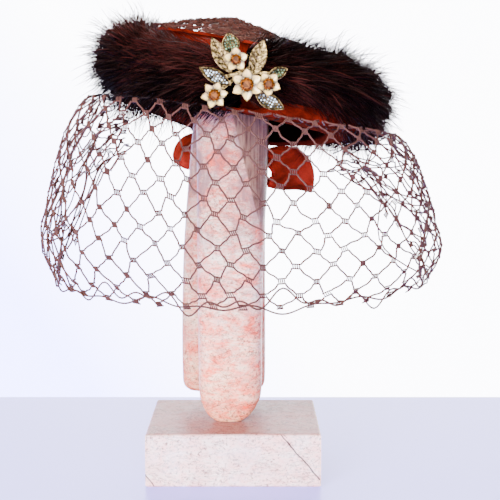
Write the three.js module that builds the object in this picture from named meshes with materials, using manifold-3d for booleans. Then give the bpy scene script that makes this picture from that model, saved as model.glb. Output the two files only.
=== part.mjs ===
// A fur halo hat with a net veil, a velvet bow and a flower brooch, on its marble display stand.
// Millimetres. +Z is up, the hat faces -Y and +X is the viewer's right.
// The origin is the middle of the stand's foot.

import * as THREE from 'three';
import { mergeVertices } from 'three/addons/utils/BufferGeometryUtils.js';
import Module from 'manifold-3d';

const wasm = await Module();
wasm.setup();

// Gap between pieces that touch.
const SEAT_GAP = 0.4;
const FULL_TURN = 2 * Math.PI;

// Stand: a block, and a post bent over like an arch, with its back leg ending above the block.
const BLOCK = { width: 153.5, depth: 125, height: 47.5, edge: 1.6 };
const POST = { height: 358, reach: 42.7, thickness: 48, width: 63, sides: 14, squareness: 2.8 };

// Halo: the ring that the hat is built on, measured at the middle of the fur.
const HAT = { x: 10, y: 0, belowTop: 50 };
const RING = { halfWidth: 96, halfDepth: 98, sideDrop: 17, backDrop: 24, steps: 40 };
const FRAME = { wall: 2.5, inside: -24, rise: 28, drop: 32, topFlange: 13, brim: 37, lip: 4, corner: 4 };
const FUR = {
  halfDepth: 24, halfHeight: 25, parting: 1.6, lockDepth: 0.12, lockSteps: 4, steps: 34, sides: 16,
};

// Nets: a pierced sheet, cut with few wide cells.
const NET = { strand: 2.4, thickness: 1.2, borderParts: 3 };
const VEIL = {
  topOut: 9, frontSpread: 47, drop: 174, hemDip: 9,
  drawnFrom: 84, drawnShare: 0.78, columns: 14, rows: 3,
};
const VEIL_SIDES = { left: { reach: 124, spread: 78 }, right: { reach: 136, spread: 71 } };
const CROWN = { x: -2, overPost: 3.1, rimInset: 1, fall: 1.5, fallBack: 0.9, columns: 8 };

// Bow: velvet ribbon looped to both sides of a knot under the back of the halo.
const RIBBON = { thickness: 1.6, width: 44 };
const BOW = {
  reach: 48, drop: 34, bulge: 13, rollLeft: 13, rollRight: 9, yawLeft: 32, yawRight: 8,
  knotWidth: 20, knotHeight: 17, knotDepth: 15, backMiddle: 0.4, yawFrom: 0.3, yawTo: 0.85,
};

// Brooch: a soldered back plate with stems, leaves on the plate, flowers on the stems, stones in the flowers.
const BROOCH = {
  x: -1.6, up: 0, halfWidth: 35, furGap: 1.2, seat: 0.3, layerRise: 3.5, weld: 0.2,
  plate: 1.6, barWidth: 2.4, padRadius: 2, stemRadius: 1.2, pinRadius: 0.8,
};
const LEAF = { length: 31, width: 14, thickness: 1.6, corners: 6, fullAt: 0.45, seatAt: 1 / 3 };
const PAVE = { sides: 6, height: 1.3, radius: 0.2, from: 0.22, to: 0.78, stagger: 0.75, table: 0.55 };
const FLOWER = {
  radius: 12.5, standoff: 6.2, layerRise: 4, heart: 0.44, heartHeight: 2.2, heartSides: 10,
  petalThickness: 1.7, petalLong: 0.34, petalWide: 1.8, cup: 14,
};
const STONE = { radius: 5.2, sides: 8, height: 0.62, seat: 0.75, girdle: 0.3, band: 0.12, table: 0.55 };

const COLOURS = {
  marble: 0xe9cdc6, velvet: 0x8f3420, fur: 0x241010, net: 0xa88478,
  gold: 0xb9a06a, crystal: 0xb4bdbf, greenCrystal: 0x93a394, petal: 0xe6dfc8, amber: 0xa35a1c,
};

const finish = (color, roughness, metalness) => (
  new THREE.MeshStandardMaterial({ color, roughness, metalness })
);
const material = {
  marble: finish(COLOURS.marble, 0.35, 0),
  velvet: finish(COLOURS.velvet, 0.95, 0),
  fur: finish(COLOURS.fur, 0.8, 0),
  net: finish(COLOURS.net, 0.7, 0),
  gold: finish(COLOURS.gold, 0.35, 0.9),
  crystal: finish(COLOURS.crystal, 0.1, 0.3),
  greenCrystal: finish(COLOURS.greenCrystal, 0.1, 0.3),
  petal: finish(COLOURS.petal, 0.3, 0),
  amber: finish(COLOURS.amber, 0.1, 0.1),
};

const postTop = BLOCK.height + SEAT_GAP + POST.height;
const haloHeight = postTop - HAT.belowTop;

const radians = (degrees) => THREE.MathUtils.degToRad(degrees);
const smooth = (value, from, to) => THREE.MathUtils.smoothstep(value, from, to);
const vector = (x, y, z) => new THREE.Vector3(x, y, z);

// Turns the triangles over where a closed mesh came out inside out.
function facingOut(positions, faces) {
  let volume = 0;
  for (const [a, b, c] of faces) {
    volume += positions[a].dot(vector(0, 0, 0).crossVectors(positions[b], positions[c]));
  }
  const turned = volume < 0 ? faces.map(([a, b, c]) => [a, c, b]) : faces;
  const geometry = new THREE.BufferGeometry();
  const numbers = positions.flatMap((position) => position.toArray());
  geometry.setAttribute('position', new THREE.Float32BufferAttribute(numbers, 3));
  geometry.setIndex(turned.flat());
  return geometry;
}

// Skins rows of points that each go round a section. A loop joins its last row to its first.
function skinOf(rows, loop = false) {
  const around = rows[0].length;
  const positions = rows.flat();
  const faces = [];
  const bands = loop ? rows.length : rows.length - 1;
  for (let row = 0; row < bands; row += 1) {
    const next = (row + 1) % rows.length;
    for (let i = 0; i < around; i += 1) {
      const j = (i + 1) % around;
      const [a, b, c, d] = [row * around + i, row * around + j, next * around + j, next * around + i];
      faces.push([a, b, c], [a, c, d]);
    }
  }
  if (!loop) {
    for (const [row, turn] of [[0, true], [rows.length - 1, false]]) {
      const middle = positions.length;
      positions.push(rows[row].reduce((sum, p) => sum.add(p), vector(0, 0, 0)).divideScalar(around));
      for (let i = 0; i < around; i += 1) {
        const [a, b] = [row * around + i, row * around + ((i + 1) % around)];
        faces.push(turn ? [middle, b, a] : [middle, a, b]);
      }
    }
  }
  return facingOut(positions, faces);
}

// A rounded box outline: squareness 2 is an ellipse, and more is squarer.
function roundedSection(sides, squareness) {
  return Array.from({ length: sides }, (_, i) => {
    const angle = (i / sides) * FULL_TURN;
    const round = (value) => Math.sign(value) * Math.abs(value) ** (2 / squareness);
    return { across: round(Math.cos(angle)), out: round(Math.sin(angle)) };
  });
}

function solidOf(geometry) {
  const bare = geometry.index ? geometry.toNonIndexed() : geometry.clone();
  bare.deleteAttribute('normal');
  bare.deleteAttribute('uv');
  const merged = mergeVertices(bare, 1e-4);
  return new wasm.Manifold(new wasm.Mesh({
    numProp: 3,
    vertProperties: merged.attributes.position.array,
    triVerts: new Uint32Array(merged.index.array),
  }));
}

function joined(geometries) {
  const whole = geometries.map(solidOf).reduce((sum, next) => sum.add(next));
  const mesh = whole.getMesh();
  const geometry = new THREE.BufferGeometry();
  geometry.setAttribute('position', new THREE.BufferAttribute(mesh.vertProperties, 3));
  geometry.setIndex(new THREE.BufferAttribute(mesh.triVerts, 1));
  return geometry;
}

function named(name, geometry, surface) {
  const mesh = new THREE.Mesh(geometry, surface);
  mesh.name = name;
  return mesh;
}

// Stand

function standBlock() {
  const outline = new THREE.Shape();
  const halfWidth = BLOCK.width / 2 - BLOCK.edge;
  const halfDepth = BLOCK.depth / 2 - BLOCK.edge;
  outline.moveTo(-halfWidth, -halfDepth);
  outline.lineTo(halfWidth, -halfDepth);
  outline.lineTo(halfWidth, halfDepth);
  outline.lineTo(-halfWidth, halfDepth);
  const block = new THREE.ExtrudeGeometry(outline, {
    depth: BLOCK.height - 2 * BLOCK.edge, bevelSize: BLOCK.edge, bevelThickness: BLOCK.edge, bevelSegments: 1,
  });
  return block.translate(0, 0, BLOCK.edge);
}

// Shares: back of POST.reach, height of POST.height, thick of POST.thickness, wide and shift of POST.width.
const POST_SECTIONS = [
  { back: -0.25, height: 0, thick: 0.5, wide: 0.36, shift: -0.08 },
  { back: -0.26, height: 0.016, thick: 0.66, wide: 0.62, shift: -0.07 },
  { back: -0.27, height: 0.044, thick: 0.82, wide: 0.8, shift: -0.06 },
  { back: -0.3, height: 0.087, thick: 0.92, wide: 0.9, shift: -0.05 },
  { back: -0.41, height: 0.242, thick: 0.95, wide: 0.91, shift: -0.05 },
  { back: -0.58, height: 0.44, thick: 0.95, wide: 0.93, shift: -0.04 },
  { back: -0.8, height: 0.638, thick: 1, wide: 0.98, shift: -0.01 },
  { back: -0.98, height: 0.808, thick: 1, wide: 1, shift: 0 },
  { back: -0.93, height: 0.875, thick: 0.98, wide: 1, shift: 0 },
  { back: -0.66, height: 0.925, thick: 0.84, wide: 0.98, shift: -0.01 },
  { back: -0.32, height: 0.948, thick: 0.74, wide: 0.96, shift: -0.02 },
  { back: 0, height: 0.952, thick: 0.7, wide: 0.95, shift: -0.02 },
  { back: 0.32, height: 0.948, thick: 0.74, wide: 0.96, shift: -0.02 },
  { back: 0.66, height: 0.925, thick: 0.84, wide: 0.99, shift: -0.03 },
  { back: 0.93, height: 0.875, thick: 0.96, wide: 1.02, shift: -0.04 },
  { back: 0.98, height: 0.808, thick: 0.98, wide: 1.06, shift: -0.05 },
  { back: 1.02, height: 0.638, thick: 0.92, wide: 1.14, shift: -0.1 },
  { back: 1.06, height: 0.44, thick: 0.87, wide: 1.22, shift: -0.15 },
  { back: 1.08, height: 0.242, thick: 0.84, wide: 1.26, shift: -0.165 },
  { back: 1.08, height: 0.095, thick: 0.82, wide: 1.26, shift: -0.165 },
  { back: 1.08, height: 0.056, thick: 0.74, wide: 1.22, shift: -0.165 },
  { back: 1.08, height: 0.041, thick: 0.56, wide: 1.06, shift: -0.165 },
];

function standPost() {
  const middles = POST_SECTIONS.map(({ back, height, shift }) => vector(
    shift * POST.width,
    back * POST.reach,
    BLOCK.height + SEAT_GAP + height * POST.height,
  ));
  const rows = POST_SECTIONS.map(({ thick, wide }, i) => {
    const before = middles[Math.max(i - 1, 0)];
    const after = middles[Math.min(i + 1, middles.length - 1)];
    const along = vector(0, after.y - before.y, after.z - before.z).normalize();
    const out = vector(0, -along.z, along.y);
    return roundedSection(POST.sides, POST.squareness).map((side) => middles[i].clone()
      .addScaledVector(vector(1, 0, 0), (side.across * wide * POST.width) / 2)
      .addScaledVector(out, (side.out * thick * POST.thickness) / 2));
  });
  // The front leg ends level, on the block.
  rows[0].forEach((point) => { point.z = BLOCK.height + SEAT_GAP; });
  return skinOf(rows);
}

// Halo

// How far the ring hangs below its front: the right side and the back are lower.
function ringHeight(angle) {
  const behind = (1 - Math.cos(angle)) / 2;
  return -RING.sideDrop * Math.sin(angle) - RING.backDrop * behind ** 3;
}

// A point by its angle from the front towards +X, how far out it is from the fur's middle, and how high.
function ringPoint(angle, out, up) {
  return vector(
    HAT.x + (RING.halfWidth + out) * Math.sin(angle),
    HAT.y - (RING.halfDepth + out) * Math.cos(angle),
    haloHeight + ringHeight(angle) + up,
  );
}

// Velvet channel: a wall with a narrow flange on top and a wide brim below that turns up in a lip.
function haloFrame() {
  const { wall, inside, rise, drop, topFlange, brim, lip, corner } = FRAME;
  const edge = inside + brim;
  const section = [
    [inside, rise], [inside, -drop + corner], [inside + corner, -drop],
    [edge - corner / 2, -drop], [edge, -drop + corner / 2], [edge, -drop + lip], [edge - wall, -drop + lip],
    [edge - wall, -drop + wall + corner / 4], [edge - wall - corner / 4, -drop + wall],
    [inside + corner + wall / 2, -drop + wall], [inside + wall, -drop + corner + wall / 2],
    [inside + wall, rise - wall], [inside + topFlange, rise - wall], [inside + topFlange, rise],
  ];
  const rows = Array.from({ length: RING.steps }, (_, step) => {
    const angle = (step / RING.steps) * FULL_TURN;
    return section.map(([out, up]) => ringPoint(angle, out, up));
  });
  return skinOf(rows, true);
}

// Shares along each fur strip, from the brooch to the back: of the half turn, up and high of FUR.halfHeight.
const FUR_SECTIONS = {
  left: [
    { turn: 0, up: -0.2, high: 0.9 },
    { turn: 0.12, up: -0.22, high: 0.9 },
    { turn: 0.26, up: -0.06, high: 1.02 },
    { turn: 0.5, up: 0, high: 1.08 },
    { turn: 1, up: 0, high: 0.98 },
  ],
  right: [
    { turn: 0, up: -0.16, high: 0.88 },
    { turn: 0.12, up: 0.12, high: 0.8 },
    { turn: 0.26, up: 0.02, high: 0.84 },
    { turn: 0.5, up: -0.16, high: 0.94 },
    { turn: 1, up: 0, high: 0.98 },
  ],
};

function furSectionAt(sections, turn) {
  const next = Math.max(sections.findIndex((section) => section.turn >= turn), 1);
  const [from, to] = [sections[next - 1], sections[next]];
  const share = smooth(turn, from.turn, to.turn);
  return {
    up: THREE.MathUtils.lerp(from.up, to.up, share),
    high: THREE.MathUtils.lerp(from.high, to.high, share),
  };
}

// One fur strip from the brooch round to the back. Its locks overlap like shingles, away from the brooch.
function furStrip(side, sections) {
  const middleOut = FRAME.inside + FRAME.wall + SEAT_GAP + FUR.halfDepth;
  const parting = FUR.parting / RING.halfDepth;
  const rows = Array.from({ length: FUR.steps + 1 }, (_, step) => {
    const turn = step / FUR.steps;
    const angle = side * (parting + turn * (Math.PI - 2 * parting));
    const { up, high } = furSectionAt(sections, turn);
    return Array.from({ length: FUR.sides }, (__, i) => {
      const around = (i / FUR.sides) * FULL_TURN;
      const phase = ((step + (i % 2) * (FUR.lockSteps / 2)) % FUR.lockSteps) / (FUR.lockSteps - 1);
      const fullness = 1 - FUR.lockDepth * (1 - phase);
      return ringPoint(
        angle,
        middleOut + FUR.halfDepth * fullness * Math.cos(around),
        FUR.halfHeight * (up + high * fullness * Math.sin(around)),
      );
    });
  });
  return skinOf(rows);
}

// Nets

// A sheet cut through in cells. Each cell is a list of knots, and its hole stops half a strand short of them.
function netOf(knots, cells) {
  const positions = [];
  const faces = [];
  const add = (point, normal, lift) => positions.push(point.clone().addScaledVector(normal, lift)) - 1;
  const half = NET.thickness / 2;
  const front = knots.map(({ point, normal }) => add(point, normal, half));
  const back = knots.map(({ point, normal }) => add(point, normal, -half));
  const used = new Map();
  for (const cell of cells) {
    cell.forEach((knot, i) => used.set(`${knot}>${cell[(i + 1) % cell.length]}`, true));
  }
  for (const cell of cells) {
    const corners = cell.map((knot) => knots[knot].point);
    const facing = corners.reduce((sum, corner, i) => sum.add(
      vector(0, 0, 0).crossVectors(corner, corners[(i + 1) % corners.length]),
    ), vector(0, 0, 0)).normalize();
    const inward = corners.map((corner, i) => facing.clone()
      .cross(corners[(i + 1) % corners.length].clone().sub(corner)).normalize());
    const holes = cell.map((knot, i) => {
      const { point, normal } = knots[knot];
      const before = inward[(i + cell.length - 1) % cell.length];
      const mitre = before.clone().add(inward[i]).divideScalar(1 + before.dot(inward[i]));
      const corner = point.clone().addScaledVector(mitre, NET.strand / 2);
      return { front: add(corner, normal, half), back: add(corner, normal, -half) };
    });
    cell.forEach((knot, i) => {
      const j = (i + 1) % cell.length;
      const next = cell[j];
      const [near, far] = [holes[i], holes[j]];
      faces.push([front[knot], front[next], far.front], [front[knot], far.front, near.front]);
      faces.push([back[knot], near.back, far.back], [back[knot], far.back, back[next]]);
      faces.push([near.front, far.front, far.back], [near.front, far.back, near.back]);
      if (!used.has(`${next}>${knot}`)) {
        faces.push([front[next], front[knot], back[knot]], [front[next], back[knot], back[next]]);
      }
    });
  }
  return facingOut(positions, faces);
}

// Knots and cells of a diamond net with straight borders. Odd rows stand half a cell to the side.
function diamondNet(columns, halfRows, place) {
  const knots = [];
  const number = new Map();
  const knot = (column, row) => {
    const key = `${column},${row}`;
    if (!number.has(key)) {
      number.set(key, knots.length);
      knots.push(place(column / columns, row / halfRows));
    }
    return number.get(key);
  };
  const cells = [];
  for (let row = 0; row <= halfRows; row += 1) {
    for (let column = (row % 2) / 2 - 0.5; column < columns; column += 1) {
      const corners = [[column, row], [column + 0.5, row + 1], [column + 1, row], [column + 0.5, row - 1]]
        .filter(([c, r]) => c >= 0 && c <= columns && r >= 0 && r <= halfRows);
      if (corners.length > 2) {
        const finer = corners.flatMap(([c, r], i) => {
          const [nextColumn, nextRow] = corners[(i + 1) % corners.length];
          const parts = nextRow === r ? NET.borderParts : 1;
          return Array.from({ length: parts }, (_, part) => [c + ((nextColumn - c) * part) / parts, r]);
        });
        cells.push(finer.map(([c, r]) => knot(c, r)));
      }
    }
  }
  return netOf(knots, cells);
}

// Shares down the veil: spread of its reach beyond the halo, and fall of its height.
const VEIL_PROFILE = [
  { spread: 0, fall: 0 },
  { spread: 0.42, fall: -0.02 },
  { spread: 0.68, fall: 0.15 },
  { spread: 0.82, fall: 0.36 },
  { spread: 0.93, fall: 0.58 },
  { spread: 1, fall: 0.8 },
  { spread: 0.84, fall: 1 },
];
const veilCurve = new THREE.CatmullRomCurve3(VEIL_PROFILE.map(({ spread, fall }) => vector(spread, fall, 0)));

function veilPoint(across, down) {
  const share = 2 * across - 1;
  const { reach, spread: sideSpread } = share < 0 ? VEIL_SIDES.left : VEIL_SIDES.right;
  const angle = radians(share * reach);
  const drawn = VEIL.drawnShare * smooth(Math.abs(share) * reach, VEIL.drawnFrom, reach);
  const profile = veilCurve.getPoint(THREE.MathUtils.clamp(down, 0, 1));
  const spread = THREE.MathUtils.lerp(VEIL.frontSpread, sideSpread, Math.sin(angle) ** 2) * (1 - drawn / 2);
  const top = ringPoint(angle, VEIL.topOut, -FRAME.drop - 2 * SEAT_GAP - NET.thickness / 2);
  const hem = haloHeight - VEIL.drop - VEIL.hemDip * Math.max(Math.cos(angle), 0);
  const fall = (top.z - hem) * (1 - drawn);
  return top.clone()
    .add(vector(Math.sin(angle), -Math.cos(angle), 0).multiplyScalar(spread * profile.x))
    .setZ(top.z - fall * profile.y);
}

// A knot on a surface that is given by two shares, with the surface's normal there.
function knotOn(surface, across, down) {
  const step = 0.004;
  const point = surface(across, down);
  const alongAcross = surface(across + step, down).sub(surface(across - step, down));
  const alongDown = surface(across, Math.min(down + step, 1)).sub(surface(across, Math.max(down - step, 0)));
  return { point, normal: alongAcross.cross(alongDown).normalize() };
}

function veilNet() {
  return diamondNet(VEIL.columns, 2 * VEIL.rows, (across, down) => knotOn(veilPoint, across, down));
}

// The crown is open, and a second net is drawn over it from the top flange.
function crownPoint(angle, inward) {
  const rimOut = FRAME.inside + FRAME.topFlange - CROWN.rimInset;
  const rim = ringPoint(angle, rimOut, FRAME.rise + 2 * SEAT_GAP + NET.thickness / 2);
  const left = 1 - inward;
  const fall = CROWN.fall + (CROWN.fallBack * (1 - Math.cos(angle))) / 2;
  return vector(
    CROWN.x + (rim.x - CROWN.x) * left,
    HAT.y + (rim.y - HAT.y) * left,
    rim.z + (postTop + CROWN.overPost - rim.z) * (1 - left ** fall),
  );
}

function crownNet() {
  const ringShares = [0, 0.38, 0.74];
  const knots = [];
  const number = new Map();
  const knot = (column, row) => {
    const place = (column + CROWN.columns) % CROWN.columns;
    const key = `${place},${row}`;
    if (!number.has(key)) {
      number.set(key, knots.length);
      knots.push(knotOn(crownPoint, (place / CROWN.columns) * FULL_TURN, ringShares[row]));
    }
    return number.get(key);
  };
  const cells = [];
  for (let column = 0; column < CROWN.columns; column += 1) {
    const rim = Array.from(
      { length: NET.borderParts + 1 },
      (_, part) => knot(column + part / NET.borderParts, 0),
    );
    cells.push([...rim, knot(column + 0.5, 1)]);
    cells.push([knot(column + 0.5, 1), knot(column, 2), knot(column - 0.5, 1), knot(column, 0)]);
    cells.push([knot(column, 2), knot(column + 0.5, 1), knot(column + 1, 2)]);
  }
  cells.push(Array.from({ length: CROWN.columns }, (_, column) => knot(column, 2)));
  return netOf(knots, cells);
}

// Bow

// Shares along a loop: out of BOW.reach, down of BOW.drop, back of BOW.bulge, wide of RIBBON.width.
// Turn is the slant of the ribbon's width, in degrees from upright to level.
const LOOP_SECTIONS = [
  { out: 0.208, down: 0.03, back: 0.27, wide: 0.2, turn: 5 },
  { out: 0.42, down: 0.08, back: -0.05, wide: 0.3, turn: 25 },
  { out: 0.64, down: 0.12, back: -0.25, wide: 0.6, turn: 60 },
  { out: 0.86, down: 0.28, back: -0.3, wide: 0.9, turn: 80 },
  { out: 0.96, down: 0.5, back: -0.28, wide: 1, turn: 88 },
  { out: 1, down: 0.76, back: -0.15, wide: 1, turn: 90 },
  { out: 1, down: 0.94, back: 0.15, wide: 1, turn: 90 },
  { out: 1, down: 1, back: 0.5, wide: 1, turn: 90 },
  { out: 1, down: 0.94, back: 0.85, wide: 1, turn: 90 },
  { out: 0.98, down: 0.74, back: 1.1, wide: 1, turn: 88 },
  { out: 0.92, down: 0.48, back: 1.15, wide: 0.92, turn: 80 },
  { out: 0.74, down: 0.28, back: 1.1, wide: 0.6, turn: 62 },
  { out: 0.5, down: 0.2, back: 0.95, wide: 0.3, turn: 28 },
  { out: 0.208, down: 0.1, back: 0.6, wide: 0.2, turn: 8 },
];

// The knot is tucked under the brim at the back.
function bowMiddle() {
  const underBrim = -FRAME.drop - SEAT_GAP - BOW.knotHeight / 2;
  return ringPoint(Math.PI, FRAME.inside + FRAME.brim / 2, underBrim);
}

function bowKnot() {
  const knot = new THREE.SphereGeometry(0.5, 12, 8).scale(BOW.knotWidth, BOW.knotDepth, BOW.knotHeight);
  const middle = bowMiddle();
  return knot.translate(middle.x, middle.y, middle.z);
}

function bowLoop(side, yaw, roll) {
  const middle = bowMiddle();
  const yawAt = (out) => side * radians(yaw) * smooth(out, BOW.yawFrom, BOW.yawTo);
  const points = LOOP_SECTIONS.map(({ out, down, back }) => vector(
    side * out * BOW.reach - (back - BOW.backMiddle) * BOW.bulge * Math.sin(yawAt(out)),
    (back - BOW.backMiddle) * BOW.bulge * Math.cos(yawAt(out)),
    -down * BOW.drop,
  ));
  const rows = LOOP_SECTIONS.map(({ out, wide, turn }, i) => {
    const before = points[Math.max(i - 1, 0)];
    const after = points[Math.min(i + 1, points.length - 1)];
    const along = after.clone().sub(before).normalize();
    const lean = radians(turn);
    const level = side * Math.sin(lean);
    const across = vector(level * Math.cos(yawAt(out)), level * Math.sin(yawAt(out)), Math.cos(lean));
    across.addScaledVector(along, -across.dot(along)).normalize();
    const face = vector(0, 0, 0).crossVectors(along, across).multiplyScalar(RIBBON.thickness / 2);
    const half = across.clone().multiplyScalar((wide * RIBBON.width) / 2);
    return [[1, 1], [-1, 1], [-1, -1], [1, -1]].map(([end, front]) => points[i].clone()
      .addScaledVector(half, end)
      .addScaledVector(face, front));
  });
  return skinOf(rows).rotateY(radians(roll)).translate(middle.x, middle.y, middle.z);
}

// Brooch

// Shares: right and up of BROOCH.halfWidth from its middle, long of LEAF.length, wide of LEAF.width.
const BROOCH_LEAVES = [
  { name: 'gold_leaf_left', right: -0.24, up: -0.03, long: 1, wide: 0.9, turn: 119, layer: 0, stones: 0 },
  { name: 'gold_leaf_right', right: 0.23, up: -0.09, long: 0.94, wide: 0.93, turn: 72, layer: 0, stones: 0 },
  { name: 'green_leaf_top', right: -0.19, up: 0.37, long: 0.55, wide: 0.96, turn: 104, layer: 1, stones: 4 },
  { name: 'green_leaf_right', right: 0.57, up: -0.13, long: 0.55, wide: 0.64, turn: 24, layer: 0, stones: 4 },
  { name: 'crystal_leaf_up', right: -0.25, up: -0.29, long: 0.9, wide: 0.75, turn: 151, layer: 0, stones: 6 },
  { name: 'crystal_leaf_low', right: 0.3, up: -0.49, long: 0.81, wide: 0.82, turn: -27, layer: 0, stones: 6 },
];
const LEAF_FINISH = { gold: material.gold, green: material.greenCrystal, crystal: material.crystal };

// Shares: right and up of BROOCH.halfWidth, wide of FLOWER.radius, stone of STONE.radius.
const BROOCH_FLOWERS = [
  { name: 'top', right: -0.13, up: 0.25, wide: 0.76, stone: 0.77, petals: 5, turn: 20, layer: 1 },
  { name: 'left', right: -0.61, up: -0.52, wide: 0.84, stone: 0.88, petals: 6, turn: 10, layer: 0 },
  { name: 'middle', right: 0.11, up: -0.29, wide: 1, stone: 1, petals: 6, turn: 30, layer: 0 },
  { name: 'right', right: 0.59, up: -0.28, wide: 0.76, stone: 0.85, petals: 5, turn: 50, layer: 1 },
];

// Heights over the back of the plate, towards the viewer.
const leafBase = ({ layer }) => BROOCH.plate + BROOCH.seat + layer * BROOCH.layerRise;
const flowerBase = ({ layer }) => BROOCH.plate + FLOWER.standoff + layer * FLOWER.layerRise;
const stoneBase = (flower) => flowerBase(flower) + FLOWER.heartHeight + BROOCH.seat;

const placeOf = ({ right, up }) => [right * BROOCH.halfWidth, up * BROOCH.halfWidth];

// Where a leaf is soldered.
function leafSeat(leaf) {
  const [right, up] = placeOf(leaf);
  const along = LEAF.seatAt * leaf.long * LEAF.length;
  return [right + along * Math.cos(radians(leaf.turn)), up + along * Math.sin(radians(leaf.turn))];
}

// Turns a piece made flat, facing +Z, to the front of the halo.
function pinned(geometry) {
  const furFront = FRAME.inside + FRAME.wall + SEAT_GAP + 2 * FUR.halfDepth;
  const front = ringPoint(0, furFront + BROOCH.furGap, 0).y;
  return geometry.rotateX(Math.PI / 2).translate(HAT.x + BROOCH.x, front, haloHeight + BROOCH.up);
}

function rod(radius, from, to, [right, up], sides = 8) {
  return new THREE.CylinderGeometry(radius, radius, to - from, sides)
    .rotateX(Math.PI / 2).translate(right, up, (from + to) / 2);
}

function bar([fromRight, fromUp], [toRight, toUp]) {
  const length = Math.hypot(toRight - fromRight, toUp - fromUp);
  return new THREE.BoxGeometry(length, BROOCH.barWidth, BROOCH.plate)
    .rotateZ(Math.atan2(toUp - fromUp, toRight - fromRight))
    .translate((fromRight + toRight) / 2, (fromUp + toUp) / 2, BROOCH.plate / 2);
}

// Back plate of bars and pads, with a stem for each flower and a pin through the parting of the fur.
function broochSetting() {
  const hub = [-BROOCH.x, -BROOCH.up];
  const pinLength = BROOCH.furGap + 2 * FUR.halfDepth;
  const pieces = [
    rod(BROOCH.padRadius, 0, BROOCH.plate, hub),
    rod(BROOCH.pinRadius, -pinLength, BROOCH.plate, hub),
  ];
  for (const leaf of BROOCH_LEAVES) {
    const seat = leafSeat(leaf);
    pieces.push(rod(BROOCH.padRadius, 0, leafBase(leaf) - BROOCH.seat, seat), bar(hub, seat));
  }
  for (const flower of BROOCH_FLOWERS) {
    const place = placeOf(flower);
    pieces.push(rod(BROOCH.stemRadius, 0, flowerBase(flower) - BROOCH.seat, place), bar(hub, place));
  }
  return pinned(joined(pieces));
}

// A pointed leaf along +X from its stalk, with its cut stones fused to it.
function broochLeaf(leaf) {
  const long = leaf.long * LEAF.length;
  const wide = leaf.wide * LEAF.width;
  const outline = new THREE.Shape();
  outline.moveTo(0, 0);
  outline.quadraticCurveTo(long * LEAF.fullAt, -wide, long, 0);
  outline.quadraticCurveTo(long * LEAF.fullAt, wide, 0, 0);
  const plate = new THREE.ExtrudeGeometry(outline, {
    depth: LEAF.thickness, bevelEnabled: false, curveSegments: LEAF.corners,
  });
  const pieces = [plate];
  const stoneRadius = wide * PAVE.radius;
  for (let i = 0; i < leaf.stones; i += 1) {
    const along = THREE.MathUtils.lerp(PAVE.from, PAVE.to, i / (leaf.stones - 1)) * long;
    const aside = (i % 2 ? 1 : -1) * stoneRadius * PAVE.stagger;
    pieces.push(new THREE.CylinderGeometry(stoneRadius * PAVE.table, stoneRadius, PAVE.height, PAVE.sides)
      .rotateX(Math.PI / 2)
      .translate(along, aside, LEAF.thickness + PAVE.height / 2 - BROOCH.weld));
  }
  const [right, up] = placeOf(leaf);
  return pinned(joined(pieces).rotateZ(radians(leaf.turn)).translate(right, up, leafBase(leaf)));
}

// Cupped petals round a heart.
function broochFlower(flower) {
  const radius = flower.wide * FLOWER.radius;
  const [right, up] = placeOf(flower);
  const pieces = [rod(FLOWER.heart * radius, 0, FLOWER.heartHeight, [0, 0], FLOWER.heartSides)];
  const petalHalfWidth = (FLOWER.petalWide * radius) / flower.petals;
  for (let i = 0; i < flower.petals; i += 1) {
    pieces.push(new THREE.SphereGeometry(1, 6, 4).rotateX(Math.PI / 2)
      .scale(FLOWER.petalLong * radius, petalHalfWidth, FLOWER.petalThickness / 2)
      .rotateY(-radians(FLOWER.cup))
      .translate((1 - FLOWER.petalLong) * radius, 0, FLOWER.petalThickness)
      .rotateZ(radians(flower.turn) + (i / flower.petals) * FULL_TURN));
  }
  return pinned(joined(pieces).translate(right, up, flowerBase(flower)));
}

// A round stone: a flat seat, a girdle, crown facets and a table.
function broochStone(flower) {
  const radius = flower.stone * STONE.radius;
  const height = radius * STONE.height;
  const [right, up] = placeOf(flower);
  const profile = [
    [0, 0], [STONE.seat, 0], [1, STONE.girdle], [1, STONE.girdle + STONE.band], [STONE.table, 1], [0, 1],
  ].map(([out, high]) => new THREE.Vector2(out * radius, high * height));
  const stone = new THREE.LatheGeometry(profile, STONE.sides).rotateX(Math.PI / 2);
  return pinned(stone.translate(right, up, stoneBase(flower)));
}

const hat = new THREE.Group();
hat.add(
  named('stand_block', standBlock(), material.marble),
  named('stand_post', standPost(), material.marble),
  named('halo_frame', haloFrame(), material.velvet),
  named('fur_left', furStrip(-1, FUR_SECTIONS.left), material.fur),
  named('fur_right', furStrip(1, FUR_SECTIONS.right), material.fur),
  named('veil_net', veilNet(), material.net),
  named('crown_net', crownNet(), material.net),
  named('bow_knot', bowKnot(), material.velvet),
  named('bow_loop_left', bowLoop(-1, BOW.yawLeft, BOW.rollLeft), material.velvet),
  named('bow_loop_right', bowLoop(1, BOW.yawRight, BOW.rollRight), material.velvet),
  named('brooch_setting', broochSetting(), material.gold),
);
for (const leaf of BROOCH_LEAVES) {
  const [kind] = leaf.name.split('_');
  hat.add(named(leaf.name, broochLeaf(leaf), LEAF_FINISH[kind]));
}
for (const flower of BROOCH_FLOWERS) {
  hat.add(
    named(`flower_${flower.name}`, broochFlower(flower), material.petal),
    named(`amber_stone_${flower.name}`, broochStone(flower), material.amber),
  );
}

export default hat;
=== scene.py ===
"""Dresses a fur halo hat on its marble stand: fur, velvet, nets, bow, jewelled brooch, stone and stage.

Metres. +Z is up, the hat faces -Y and +X is the viewer's right.
"""

import math

import bmesh
import bpy
import numpy as np
from bpy.props import FloatProperty, FloatVectorProperty, IntProperty, PointerProperty
from mathutils import Matrix, Vector


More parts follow.
